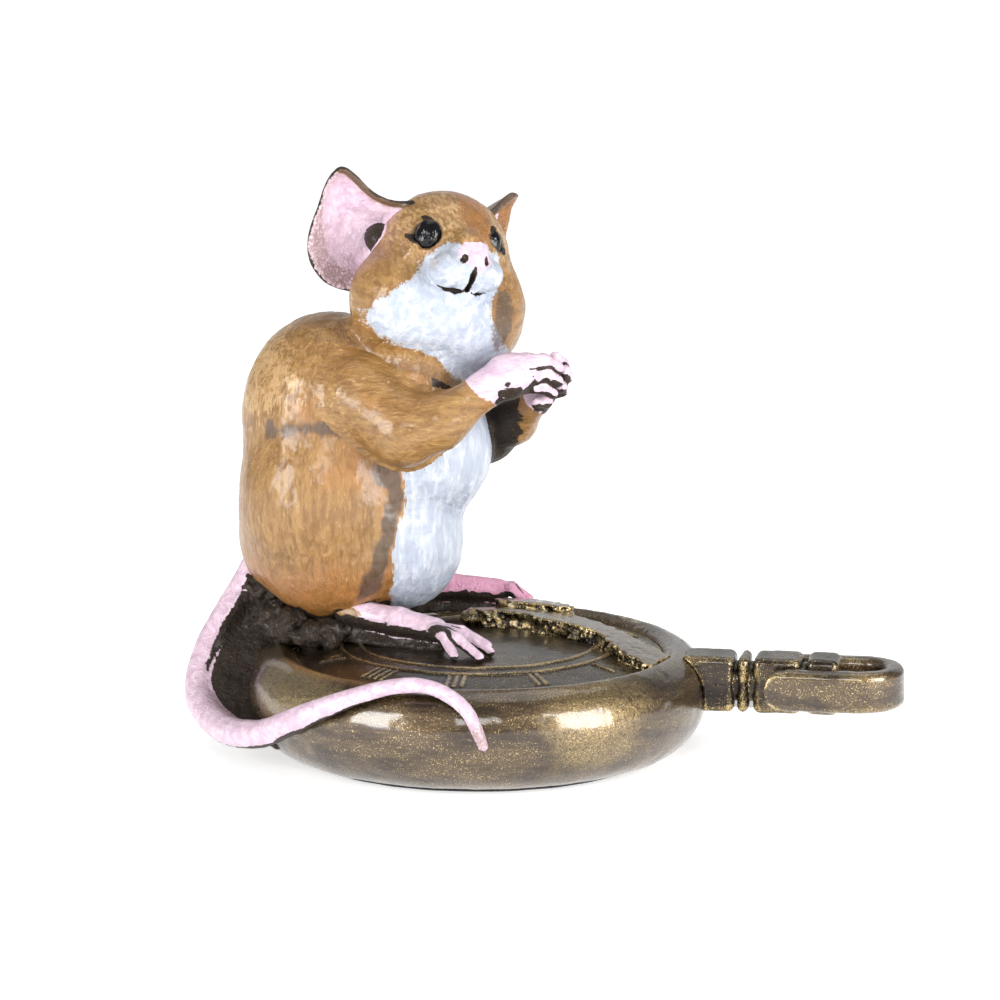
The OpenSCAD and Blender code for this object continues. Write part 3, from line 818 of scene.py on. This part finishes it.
def from_head(q):
    """The inverse of to_head."""
    return turn_z(turned(q, HEAD_TILT, 1, 2), HEAD_TURN) + HEAD_CENTRE


def torso_field(p):
    parts = [blob(p, (-21.3, 10.5, 38), (15, 15.3, 17)), blob(p, (-22.3, 9.8, 50.5), (13.8, 13.2, 15.6)),
             blob(p, (-8.5, 9, 46), (10.6, 11.5, 12), -6), blob(p, (-12.3, 9.5, 31), (10, 11, 11)),
             blob(p, (-9.5, 7, 56), (8.5, 9.5, 8)), blob(p, (-25.5, 10.5, 30.3), (10.9, 11, 9.6))]
    return join_all(parts, 3.5)


def haunch_field(p, side):
    q = p.copy()
    q[:, 1] = (p[:, 1] - 10.5) * side
    parts = [blob(q, (-24.2, 4.5, 38.5), (12.2, 11.9, 14.8), 6), blob(q, (-19.5, 8.2, 30), (8.2, 6.4, 8.2)),
             blob(q, (-23.5, 6, 27.5), (8.5, 7, 7.5))]
    return join_all(parts, 3)


def seat_field(p):
    return bone(p, (-21, 10.5, 26, 9), (-20.5, 10.5, 18.5, 8))


def body_field(p):
    body = join(torso_field(p), haunch_field(p, -1), 1.6)
    body = join(body, haunch_field(p, 1), 1.6)
    body = join(body, seat_field(p), 2.5)
    return np.maximum(body, DIAL_TOP_Z + 0.1 - p[:, 2])


EYE_AT = (3.9, 4.7, 5.6)
EYE_R = 2.3
NOSE = ((9.2, 0.2, 5.4, 2.5), (11.0, 0.2, 3.9, 1.8))
NOSTRIL_AT = (11.8, 1.9, 4.0)
NOSTRIL_R = 0.6
LIP_AT = (10.2, 0, -0.6)


def mouth_field(q):
    """The groove under the nose and along the mouth; q has its Y taken as positive."""
    groove = bone(q, (13.0, 0, 2.8, 0.2), (*LIP_AT, 0.45))
    return np.minimum(groove, chain(q, [(*LIP_AT, 0.35), (9.8, 1.5, -1.3, 0.3), (8.6, 3.8, -0.7, 0.15)], 0.2))


def skull_field(p):
    """The head alone, without ears and eyes, in the head's frame."""
    q = p.copy()
    q[:, 1] = np.abs(q[:, 1])
    skull = blob(p, (-2.8, 0.8, 2), (10.2, 10.1, 10.5))
    cheek = blob(q, (0.2, 7.0, -4.4), (7.8, 6.8, 7.6))
    snout = bone(p, (3.5, 0.2, 1.6, 6.7), (8.6, 0.2, 2.4, 3.8))
    jaw = blob(p, (5.2, 0, -4.4), (5.4, 6.2, 4.8))
    ruff = blob(p, (0.2, 0, -6.6), (9.2, 9.6, 6.2))
    bib = blob(p, (2.2, 4.7, -8.0), (6.5, 6.9, 6.0))
    head = join_all([skull, cheek, jaw, ruff, bib], 3.0)
    head = join(head, snout, 2.2)
    pads = blob(q, (9.0, 2.9, 1.7), (3.2, 2.9, 2.7))
    head = join(head, pads, 0.4)
    head = join(head, bone(p, (4.6, 0.2, 6.1, 2.4), (9.1, 0.2, 5.4, 2.2)), 1.2)
    head = join(head, bone(p, *NOSE), 0.7)
    head = join(head, blob(p, (8.6, 0, -2.2), (2.1, 2.6, 1.3)), 0.7)
    head = carve(head, mouth_field(q), 0.4)
    head = carve(head, ball(q, NOSTRIL_AT, NOSTRIL_R), 0.3)
    lids = np.maximum(ball(q, EYE_AT, EYE_R + 0.8), head - 0.3)
    head = join(join(head, lids, 0.8), ball(q, (4.0, 7.0, 3.2), 1.4), 1.2)
    return carve(head, ball(q, EYE_AT, EYE_R + 0.05), 0.3)


def head_field(p):
    return skull_field(to_head(p))


ARM_RIGHT = [(-18, 1, 55, 6.4), (-11, -3.8, 50.3, 5.1), (-6, -5, 51.8, 4.0), (0.6, -4.9, 56.2, 2.7)]
PALM_RIGHT = [(0.6, -4.9, 56.6, 2.8), (4.6, -4.2, 58.7, 3.4), (7.4, -3.4, 59.4, 2.8)]
FINGERS_RIGHT = [[(6.6, -4.6, 60.4, 1.2), (9.8, -3.6, 61.0, 1.15), (12.0, -2.4, 59.6, 0.95)],
                 [(7.2, -4.6, 58.8, 1.2), (10.2, -3.8, 59.0, 1.1), (12.0, -2.8, 57.6, 0.9)],
                 [(6.8, -4.0, 57.2, 1.2), (9.6, -3.6, 57.0, 1.1), (11.2, -2.8, 55.8, 0.85)]]
ARM_LEFT = [(-9, 18, 53, 5), (1.2, 14, 46.6, 4.2), (5.4, 10, 49.3, 3.2), (8.4, 5.8, 52.8, 2.2)]
PALM_LEFT = [(9.0, 5.4, 53.4, 2.2), (10.4, 2.8, 56.4, 2.5)]
FINGERS_LEFT = [[(11.0, 2.0, 57.6, 1.3), (12.6, 0.6, 59.6, 1.15), (11.6, -1.2, 61.0, 0.95)],
                [(11.4, 2.0, 56.4, 1.25), (13.2, 0.8, 57.8, 1.1), (13.0, -1.0, 59.0, 0.9)],
                [(11.0, 2.0, 55.2, 1.2), (12.6, 0.4, 55.8, 1.05), (12.6, -1.4, 56.6, 0.85)],
                [(9.6, 2.6, 54.6, 1.2), (10.2, 0.2, 54.0, 1.0), (8.8, -1.4, 54.2, 0.85)]]
SOLE_Z = 20.6
SOLE_RIGHT = [(-20, 1, 21.4, 2), (-12, -3.4, 20.8, 2.1), (-6.5, -5.8, 20.0, 1.9)]
TOES_RIGHT = [(1.4, -8, 18.1), (1.8, -11.4, 17.9), (0.2, -14.8, 17.8), (-3.6, -13.8, 17.8)]
SOLE_LEFT = [(-12, 21, 20.8, 2), (-5, 22.4, 20.8, 2.1), (3, 22.6, 20.0, 1.9)]
TOES_LEFT = [(7, 20.4, 18.9), (7.8, 22.3, 18.8), (7.2, 24.2, 18.8)]
TAIL = [(-34, 12, 26, 2.6), (-36, 12, 22.6, 2.5), (-38.4, 11, 19, 2.4), (-41, 9, 15, 2.2),
        (-42.5, 6, 11.2, 2.2), (-42.6, 2, 8, 2.2), (-40.6, -4, 6, 2.2), (-37.2, -10.5, 5.4, 2.2),
        (-32.2, -18.6, 7, 2.1), (-27.2, -25.4, 10.6, 1.9), (-23.5, -28, 12.8, 1.65),
        (-18.9, -29.9, 15, 1.4), (-14.2, -30.8, 16.6, 1.25), (-11, -31.2, 17.2, 1.2),
        (-8, -31.8, 17.3, 1.15), (-5, -33.1, 16.6, 1.1), (-1.8, -35.2, 14.6, 1.05),
        (-0.2, -36.4, 11.9, 0.95), (0.8, -36.5, 9.4, 0.8)]


def spline(points, steps):
    """A smooth curve through the points, steps samples to each stretch."""
    pts = np.array(points, float)
    ends = np.vstack([2 * pts[0] - pts[1], pts, 2 * pts[-1] - pts[-2]])
    made = []
    for i in range(len(pts) - 1):
        a, b, c, d = ends[i : i + 4]
        for t in np.arange(steps) / steps:
            made.append(0.5 * (2 * b + (c - a) * t + (2 * a - 5 * b + 4 * c - d) * t * t
                               + (3 * b - a - 3 * c + d) * t**3))
    return made + [pts[-1]]


def arm_field(p, side):
    return chain(p, ARM_RIGHT if side < 0 else ARM_LEFT, 2.0)


def paw_field(p, side):
    palm, fingers = (PALM_RIGHT, FINGERS_RIGHT) if side < 0 else (PALM_LEFT, FINGERS_LEFT)
    paw = chain(p, palm, 0.8)
    for finger in fingers:
        paw = join(paw, chain(p, finger, 0.3), 0.45)
    return paw


def toe_field(p, sole, toe):
    joint = np.array(sole[-1])
    root = (joint[0], joint[1] + (toe[1] - joint[1]) * 0.25, joint[2] + 0.2, 1.25)
    knuckle = ((root[0] + toe[0]) / 2, (root[1] + toe[1]) / 2, (root[2] + toe[2]) / 2 + 0.9, 0.95)
    return chain(p, [root, knuckle, (*toe, 0.7)], 0.3)


def foot_field(p, sole, toes):
    foot = chain(p, sole, 0.8)
    for toe in toes:
        foot = join(foot, toe_field(p, sole, toe), 0.4)
    return foot


def web_field(p, sole):
    """The wall of bronze between a foot's sole and the dial."""
    wall = np.full(len(p), 1e9)
    for a, b in zip(sole, sole[1:]):
        low = bone(p * [1, 1, 0], (a[0], a[1], 0, 1.3), (b[0], b[1], 0, 1.3))
        wall = np.minimum(wall, low)
    wall += 0.6 + 0.45 * fractal(p, 0.45, 3, 17) - 0.1 * np.clip(SOLE_Z - p[:, 2], 0, 3) ** 2
    return highest(wall, p[:, 2] - SOLE_Z, DIAL_TOP_Z - 0.3 - p[:, 2])


def skin_lumps(p):
    """Hand-modelled unevenness of the mouse's coat."""
    return 0.16 * fractal(p, 0.35, 3, 21) + 0.05 * lattice_noise(p, 2.0, 25)


# ---- paint masks


# Edges of the white paint: on the head seen from the front, as (Y, Z), and of the pink on the nose
RUFF = [(-3.0, 5.8), (-5.7, 3.1), (-6.6, 0.7), (-8.4, -0.9), (-11.0, -3.3), (-13.2, -6.6), (-12.2, -8.3),
        (-10.5, -10.1), (-8.3, -10.8), (-4.8, -11.4), (-1.4, -12.1), (0.2, -13.4), (3.8, -15.5),
        (10.4, -15.5), (12.2, -11.2), (9.8, -9.4), (6.8, -6.8), (5.1, -4.2), (5.1, -2.4), (6.3, -0.8),
        (5.4, 1.8), (6.4, 4.2), (3.8, 6)]
NOSE_PATCH = [(-2.6, 4.0), (-1.8, 6.3), (0.6, 6.7), (3.0, 6.0), (3.9, 4.6), (2.7, 3.4), (0.9, 1.8),
              (-0.9, 3.0)]
# The black corners above and beside each eye, as (Y, Z, r), and the part of the cheek with painted shade
EYE_CORNERS = [(5.1, 8.1, 0.6), (7.3, 5.2, 0.5)]
CHEEK_SHADE = ((5, 7.4, -5.2), (6, 2.4, 5.2))
# How much places are drawn out along the strokes: vertical on the body, to the nose on the head
BODY_STROKES, HEAD_STROKES, ARM_STROKES = (1.2, 1.2, 0.25), (0.3, 1.1, 0.9), (0.4, 1.0, 1.2)
# The creases of the near side that get painted shade, as (X, Z): over the haunch to the armpit, then down the
# belly's edge
CREASE = [(-31, 49.5), (-21.5, 51), (-17.3, 49.2), (-13.5, 46), (-12.4, 40.5), (-13.8, 34), (-15, 30),
          (-17, 25)]
SHOULDER_CREASE = [(-23.6, 55.6), (-17.3, 49.6)]
ARMPIT_AT = (-13.6, 0, 43.5)


def facing(q):
    """Points of the head's frame laid in plan, as seen from the front."""
    return np.stack([q[:, 1], q[:, 2], zero(q)], axis=1)


def crease_field(p, route, r):
    flat = p * [1, 0, 1]
    ends = zip(route, route[1:])
    return np.min([bone(flat, (a[0], 0, a[1], r), (b[0], 0, b[1], r)) for a, b in ends], axis=0)


def body_paint(p, n):
    haunch = np.minimum(haunch_field(p, -1), haunch_field(p, 1))
    ragged = 0.8 * fractal(p * [1, 1, 0.5], 0.6, 3, 30)
    edge_x = -13.4 + 2.2 * np.exp(-(((p[:, 2] - 40) / 6) ** 2))
    front = smooth(p[:, 0] + ragged, edge_x - 1, edge_x + 1)
    side = smooth(np.abs(p[:, 1] - 9.5) + ragged, 13.2, 12.0)
    white = front * side * smooth(haunch, 0.1, 0.7) * smooth(p[:, 2], 54.5, 52.5)
    arm = np.minimum(arm_field(p, -1), arm_field(p, 1))
    hem = 20.9 + 0.32 * np.minimum(np.abs(p[:, 0] + 24), 8) * smooth(p[:, 0], -12, -15)
    hem += fractal(p, 0.5, 2, 32) - p[:, 2]
    under = smooth(hem, -0.7, 0.7)
    # Painted shade under the chin, drawn in the dark metal colour.
    throat_shade = smooth(p[:, 2], 52, 54) * smooth(p[:, 0] + ragged, -8, -6) * smooth(p[:, 1] + ragged, 13, 11)
    # Painted shade in the near side's creases and armpit and beside the arms, kept off the white paint.
    patchy = smooth(fractal(p, 0.45, 3, 36), -1.0, -0.3)
    armpit = ball(p * [1, 0, 1], ARMPIT_AT, 2.4)
    crease = smooth(np.minimum(crease_field(p, CREASE, 1.2), armpit) + 1.6 * ragged, 1.4, -0.9)
    crease *= 0.85 + 0.15 * smooth(p[:, 0], -19, -14)
    shoulder = smooth(crease_field(p, SHOULDER_CREASE, 1.2) + 1.6 * ragged, 1.4, -0.9) * 0.7
    near = smooth(p[:, 1], 9, 6)
    painted_shade = np.maximum(smooth(arm, 1.6, 0.3) * 0.5, np.maximum(crease, shoulder) * patchy * near)
    painted_shade *= 1 - white
    low = smooth(p[:, 2] + 3 * fractal(p, 0.15, 2, 45), 33, 25)
    pale = smooth(p[:, 0] + 0.4 * p[:, 2], 0, -8) * smooth(p[:, 2], 48, 55)
    return {"white": white, "bare_and_shade": np.maximum(under, throat_shade), "painted_shade": painted_shade, "pale": pale,
            "rust": np.maximum(0.8 * smooth(fractal(p, 0.1, 2, 31), 0.1, 0.7), low),
            "flow": p * BODY_STROKES * MM}


def head_paint(p, n):
    q = to_head(p)
    front = smooth(q[:, 0], -3.4, -1.6)
    ragged = 0.55 * fractal(p, 0.8, 3, 37)
    ruff = outline_field(facing(q), RUFF) + ragged
    nose = outline_field(facing(q), NOSE_PATCH) + 0.2 * ragged
    folded = q * [1, 0, 1]
    folded[:, 1] = np.abs(q[:, 1])
    lips = smooth(mouth_field(folded) + 0.2 * fractal(p, 1.2, 2, 47), 0.42, 0.12)
    nostril = smooth(ball(folded, NOSTRIL_AT, NOSTRIL_R), 0.35, 0.0)
    # Painted shade round the eye sockets, on part of the cheek and where the head meets the body.
    socket = smooth(ball(folded, EYE_AT, EYE_R), 0.75, 0.25)
    corners = [np.hypot(folded[:, 1] - y, folded[:, 2] - z) - r for y, z, r in EYE_CORNERS]
    black = smooth(np.min(corners, axis=0), 0.3, -0.1) * smooth(q[:, 0], 1, 2)
    cheek = smooth(blob(q, *CHEEK_SHADE) + 2 * ragged, 1.2, -0.8)
    stripe = smooth(np.abs(q[:, 1] - 2.4), 3.6, 1.6) * smooth(q[:, 2], 5, 8)
    neck = smooth(body_field(p), 1.2, 0.2)
    return {"white": smooth(ruff, 1.0, -1.0) * front, "pink": smooth(nose, 0.2, -0.2) * front,
            "bare_and_shade": highest(lips, nostril, black), "flow": q * HEAD_STROKES * MM,
            "painted_shade": highest(socket, 0.8 * cheek, 0.55 * neck),
            "rust": np.maximum(stripe, 0.8 * smooth(fractal(p, 0.12, 2, 33), 0.2, 0.7)),
            "pale": 0.65 * smooth(q[:, 2], 1, 6) * (1 - stripe)}


def limb_paint(p, n, side):
    paw = smooth(paw_field(p, side) - arm_field(p, side), 0.5, -0.5)
    palm = paw * smooth(n[:, 2] + 0.5 * fractal(p, 0.8, 2, 38), -0.15, -0.55)
    if side > 0:
        inner = smooth(p[:, 0] + 1.4 * fractal(p, 0.5, 2, 39), 7.4, 5.4) * smooth(p[:, 2], 58, 55)
        palm = np.maximum(palm, inner * (1 - paw) * smooth(-n[:, 1], -0.2, 0.3))
    # Painted shade on the arms' undersides.
    below = smooth(n[:, 2], -0.45, -0.9) * 0.5 * (1 - paw)
    fingers = FINGERS_RIGHT if side < 0 else FINGERS_LEFT
    # Painted shade in the creases between the fingers, in the dark metal colour.
    palm = np.maximum(palm, shade_between_digits([chain(p, finger, 0.3) for finger in fingers]))
    return {"pink": paw, "bare_and_shade": palm, "painted_shade": below, "flow": p * ARM_STROKES * MM,
            "rust": smooth(fractal(p, 0.12, 2, 35), 0.0, 0.6)}


def shade_between_digits(digits):
    """Painted shade: 1 in the creases between neighbouring fingers or toes, beyond where they part."""
    nearest, second = np.sort(np.array(digits), axis=0)[:2]
    return smooth(second - nearest, 0.6, 0.2) * smooth(nearest, -0.5, -0.2) * smooth(nearest, 0.9, 0.5)


def foot_paint(p, n, sole, toes):
    toe_fields = [toe_field(p, sole, toe) for toe in toes]
    web = smooth(foot_field(p, sole, toes), 0.15, 0.45)
    low = smooth(n[:, 2] + 0.3 * fractal(p, 0.8, 2, 40), 0.1, -0.2)
    # Painted shade between the toes, in the dark metal and mauve colours.
    between = shade_between_digits(toe_fields) * smooth(ball(p, sole[-1][:3], 0), 2.6, 3.6)
    heel = smooth(p[:, 0] - sole[0][0] + 0.5 * (p[:, 2] - 22) + 1.6 * fractal(p, 0.6, 2, 46), 0.0, 2.4)
    return {"pink": heel, "flush": zero(p) + (p[:, 1] > 12), "mauve": 0.7 * between,
            "bare_and_shade": highest(web, low, between)}


def tail_paint(p, n):
    outward = p * [1, 1, 0]
    outward /= np.maximum(np.linalg.norm(outward, axis=1), 1e-6)[:, None]
    facing_out = (n * outward).sum(axis=1) + 0.7 * n[:, 2] + 0.25 * fractal(p, 0.6, 2, 42)
    tip = smooth(ball(p, TAIL[-1][:3], 0) + fractal(p, 0.8, 2, 49), 4.5, 2.5)
    return {"pink": zero(p) + 1, "bare_and_shade": smooth(facing_out, 0.2, -0.2), "mauve": tip}


def build_body():
    def field(p):
        return body_field(p) + skin_lumps(p)
    sculpt("mouse_body", field, (-40, -8, 16), (6, 30, 70), 0.4, PAINT, body_paint, MOUSE_TURN)


def build_head():
    def field(p):
        return meet(head_field(p), body_field(p), 3.6, 3.0, 1.5) + skin_lumps(p)
    sculpt("head", field, (-24, -13, 52), (12, 24, 90), 0.3, PAINT, head_paint, MOUSE_TURN)


def build_arm(name, side, low, high):
    def field(p):
        arm = join(arm_field(p, side), paw_field(p, side), 0.8)
        body = np.minimum(body_field(p), head_field(p))
        return meet(arm, body, 1.4, 1.4, 1) + skin_lumps(p) * 0.7
    sculpt(name, field, low, high, 0.3, PAINT, lambda p, n: limb_paint(p, n, side), MOUSE_TURN)


def build_foot(name, sole, toes, low, high):
    def field(p):
        return join(foot_field(p, sole, toes), web_field(p, sole), 0.6) + skin_lumps(p) * 0.4
    sculpt(name, field, low, high, 0.22, PAINT, lambda p, n: foot_paint(p, n, sole, toes), MOUSE_TURN)


# Where the web of metal inside the tail's bend meets the body and the case
WEB_AT_CASE = [(-26, 11, 23), (-27, 10.5, 18.5), (-30.5, 9, 15.5), (-33.5, 6, 12), (-34, 2, 8.5),
               (-32.5, -6, 5.5), (-30, -12, 4.5)]
# The rocky lumps on it, as middles and half sizes
ROCKS = [((-29, 3, 18.8), (4, 3.6, 3.4)), ((-24.2, 0, 18), (4.4, 3.2, 2.6)),
         ((-31.5, 9.5, 23.2), (4.2, 4.4, 3.2))]


def build_tail():
    route = spline(TAIL, 3)
    outer = spline([(*TAIL[i][:3], 1.1) for i in range(7)], 6)
    inner = spline([(*point, 1.5) for point in WEB_AT_CASE], 6)

    def tube_field(p):
        return np.min([bone(p, a, b) for a, b in zip(route, route[1:])], axis=0)

    def field(p):
        web = np.min([bone(p, a, b) for a, b in zip(outer, inner)], axis=0)
        web += 0.6 * fractal(p, 0.35, 3, 43)
        rocks = np.min([blob(p, *rock) for rock in ROCKS], axis=0)
        web = join(web, rocks + 1.3 * fractal(p, 0.6, 3, 48), 0.6)
        return join(tube_field(p), web, 1.0) + skin_lumps(p) * 0.4

    def paint(p, n):
        masks = tail_paint(p, n)
        masks["bare_and_shade"] = np.maximum(masks["bare_and_shade"], smooth(tube_field(p), 0.2, 0.5))
        return masks
    sculpt("tail", field, (-47, -40, 2), (4, 16, 30), 0.34, PAINT, paint, MOUSE_TURN)


# Where each ear's middle is, how far it turns about Z and how far its top leans towards +X
EAR_AT = {-1: (-19.0, 8.0, 79.5), 1: (-0.3, 17.0, 75.2)}
EAR_TURN = {-1: np.radians(6), 1: np.radians(-110)}
EAR_LEAN = {-1: 0, 1: np.radians(20)}
EAR_OUTLINE = [(-2.4, 9.3), (-4.0, 7.2), (-5.4, 3.4), (-6.5, 0.4), (-7.0, -2.6), (-6.4, -5.4), (-4.5, -8.0),
               (-1.6, -9.4), (2.4, -9.6), (6.6, -6.0), (9.5, 0.0), (9.0, 3.4), (5.4, 4.2), (2.8, 5.6),
               (0.6, 7.8), (-1.0, 9.2)]
CANAL_AT = (3.9, 0.2, -1.9)
CANAL_R = 2.1


def smooth_outline(corners, steps=4):
    """A closed curve through the corners."""
    ring = list(corners)
    wrapped = ring[-1:] + ring + ring[:2]
    curve = spline([(*c, 0) for c in wrapped], steps)
    return [tuple(point[:2]) for point in curve[steps:-1 - steps]]


EAR_RIM = smooth_outline(EAR_OUTLINE)


def to_ear(p, side):
    """Points in an ear's frame: X towards the head, Y out of its back, Z up it."""
    q = turned(p - EAR_AT[side], EAR_LEAN[side], 0, 2)
    return turn_z(q, -EAR_TURN[side]) * [1, -side, 1]


def ear_parts(q):
    """Signed distance inside the ear's outline, and height above its cupped middle surface."""
    outline = outline_field(q[:, [0, 2, 1]], EAR_RIM)
    cup = 3.0 * smooth(-outline, -0.5, 5.5) - 0.12 * np.maximum(-q[:, 0], 0) - 1.0
    fold = 1.2 * smooth(q[:, 2] + 0.35 * q[:, 0], 5.0, 9.5)
    return outline, q[:, 1] - cup + fold


def ear_field(p, side):
    outline, height = ear_parts(to_ear(p, side))
    leaf = np.maximum(np.abs(height) - 0.5, outline + 0.1)
    rim = np.hypot(outline + 0.55, height) - 0.62
    return join(leaf, rim, 0.4)


def build_ear(name, side, low, high):
    def field(p):
        ear = join(ear_field(p, side), ball(to_ear(p, side), CANAL_AT, CANAL_R), 0.5)
        return meet(ear, head_field(p), 1.0, 1.0, 0.8) + skin_lumps(p) * 0.4

    def paint(p, n):
        q = to_ear(p, side)
        outline, height = ear_parts(q)
        ragged = 0.6 * fractal(p, 0.6, 3, 41)
        canal = smooth(ball(q, CANAL_AT, CANAL_R), 0.6, 0.1)
        back = smooth(height, 0.1, 0.45)
        rim = smooth(outline + 0.5 * ragged, -0.5, 0.0)
        # The folded top: fur colour, with painted shade over it.
        upper = smooth(q[:, 2] + 0.9 * q[:, 0], 6.0, 7.2) * smooth(outline, -1.3, -0.6)
        border = 1.0 + 2.2 * smooth(-q[:, 2] - 0.4 * q[:, 0], -2, 5)
        if side > 0:
            back = np.maximum(back, smooth(outline + ragged, -2.6, -1.6))
        mauve = smooth(outline + border + ragged, -0.6, 0.8)
        return {"pink": 1 - np.maximum(back, upper), "bare_and_shade": np.maximum(canal, 0.8 * rim * (1 - back)),
                "rust": np.maximum(back, upper), "mauve": mauve * (1 - back), "painted_shade": 0.9 * upper}
    sculpt(name, field, low, high, 0.26, PAINT, paint, MOUSE_TURN)


def build_eye(name, side):
    place = np.array(EYE_AT) * [1, side, 1]

    def field(p):
        q = to_head(p)
        upper = ball(q, place + [0.2, 0.3 * side, 1.4], 1.3)
        return join(ball(q, place, EYE_R), upper, 1.2) + 0.12 * fractal(p, 0.5, 2, 44)
    mid = from_head(place[None])[0]
    sculpt(name, field, mid - 3, mid + 3, 0.16, ENAMEL, None, MOUSE_TURN)


# ---- build

build_case()
build_dial()
build_felt()
build_shards()
build_pendant()
build_bow()
build_body()
build_head()
build_arm("arm_right", -1, (-27, -13, 42), (15, 10, 64))
build_arm("arm_left", 1, (-17, -4, 38), (16, 26, 64))
build_foot("foot_right", SOLE_RIGHT, TOES_RIGHT, (-24, -17, 16), (4, 5, 25))
build_foot("foot_left", SOLE_LEFT, TOES_LEFT, (-15, 17, 16), (10, 26, 25))
build_tail()
build_ear("ear_right", -1, (-30, -6, 66), (-6, 16, 92))
build_ear("ear_left", 1, (-8, 4, 60), (14, 32, 88))
build_eye("eye_right", -1)
build_eye("eye_left", 1)

HIDDEN_STEEL = ("pendant_stud", "stud_nut", "bow_pins", "body_studs", "body_nuts", "neck_dowel",
                "tail_dowel")


def dress(node, material):
    """Gives a CAD node that keeps its own mesh a material."""
    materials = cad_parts[node].data.materials
    materials.clear()
    materials.append(material)


dress("base_plate", BRONZE)
for name in HIDDEN_STEEL:
    dress(name, STEEL)

# ---- stage, light and camera


def build_stage():
    bpy.ops.mesh.primitive_plane_add(size=14, location=(0, 0, 0))
    floor = bpy.context.object
    floor.name = "floor"
    s = Shader("floor")
    s.set(Base_Color=(0.86, 0.86, 0.86, 1), Roughness=0.9, Emission_Color=(1, 1, 1, 1), Emission_Strength=0.6)
    floor.data.materials.append(s.material)
    world = bpy.data.worlds.new("studio")
    world.use_nodes = True
    world.node_tree.nodes["Background"].inputs["Color"].default_value = (1, 1, 1, 1)
    world.node_tree.nodes["Background"].inputs["Strength"].default_value = 0.22
    bpy.context.scene.world = world


def area_light(name, place, target, size, watts):
    light = bpy.data.lights.new(name, "AREA")
    light.shape = "RECTANGLE"
    light.size, light.size_y = size
    light.energy = watts
    lamp = bpy.data.objects.new(name, light)
    lamp.location = place
    lamp.rotation_euler = (Vector(target) - Vector(place)).to_track_quat("-Z", "Y").to_euler()
    bpy.context.scene.collection.objects.link(lamp)


def build_camera():
    """A long lens, 11.2 degrees above the table and turned with the mouse's frame."""
    azimuth, elevation = MOUSE_TURN, np.radians(11.2)
    target = turn_z(np.array([[3.3, 0, 38.9]]), azimuth)[0] * MM
    distance, frame_width, sensor = 0.9, 0.1515, 36
    into = np.array([-np.sin(azimuth) * np.cos(elevation), np.cos(azimuth) * np.cos(elevation),
                     -np.sin(elevation)])
    lens = bpy.data.cameras.new("camera")
    lens.sensor_width = sensor
    lens.lens = sensor * distance / frame_width
    camera = bpy.data.objects.new("camera", lens)
    camera.location = target - into * distance
    camera.rotation_euler = Vector(into).to_track_quat("-Z", "Y").to_euler()
    bpy.context.scene.collection.objects.link(camera)
    bpy.context.scene.camera = camera


build_stage()
build_camera()
middle = (-0.01, 0, 0.04)
area_light("left_box", (-0.46, -0.48, 0.19), middle, (0.26, 0.36), 3.8)
area_light("right_box", (0.59, -0.32, 0.19), middle, (0.34, 0.46), 6.0)
area_light("front", (0.06, -0.72, 0.36), middle, (0.24, 0.2), 1.2)
area_light("top", (0.05, 0.15, 0.7), middle, (0.5, 0.5), 1.1)
area_light("back", (0.0, 1.3, 0.5), middle, (2.0, 0.8), 2.6)
bpy.context.scene.view_settings.view_transform = "Standard"
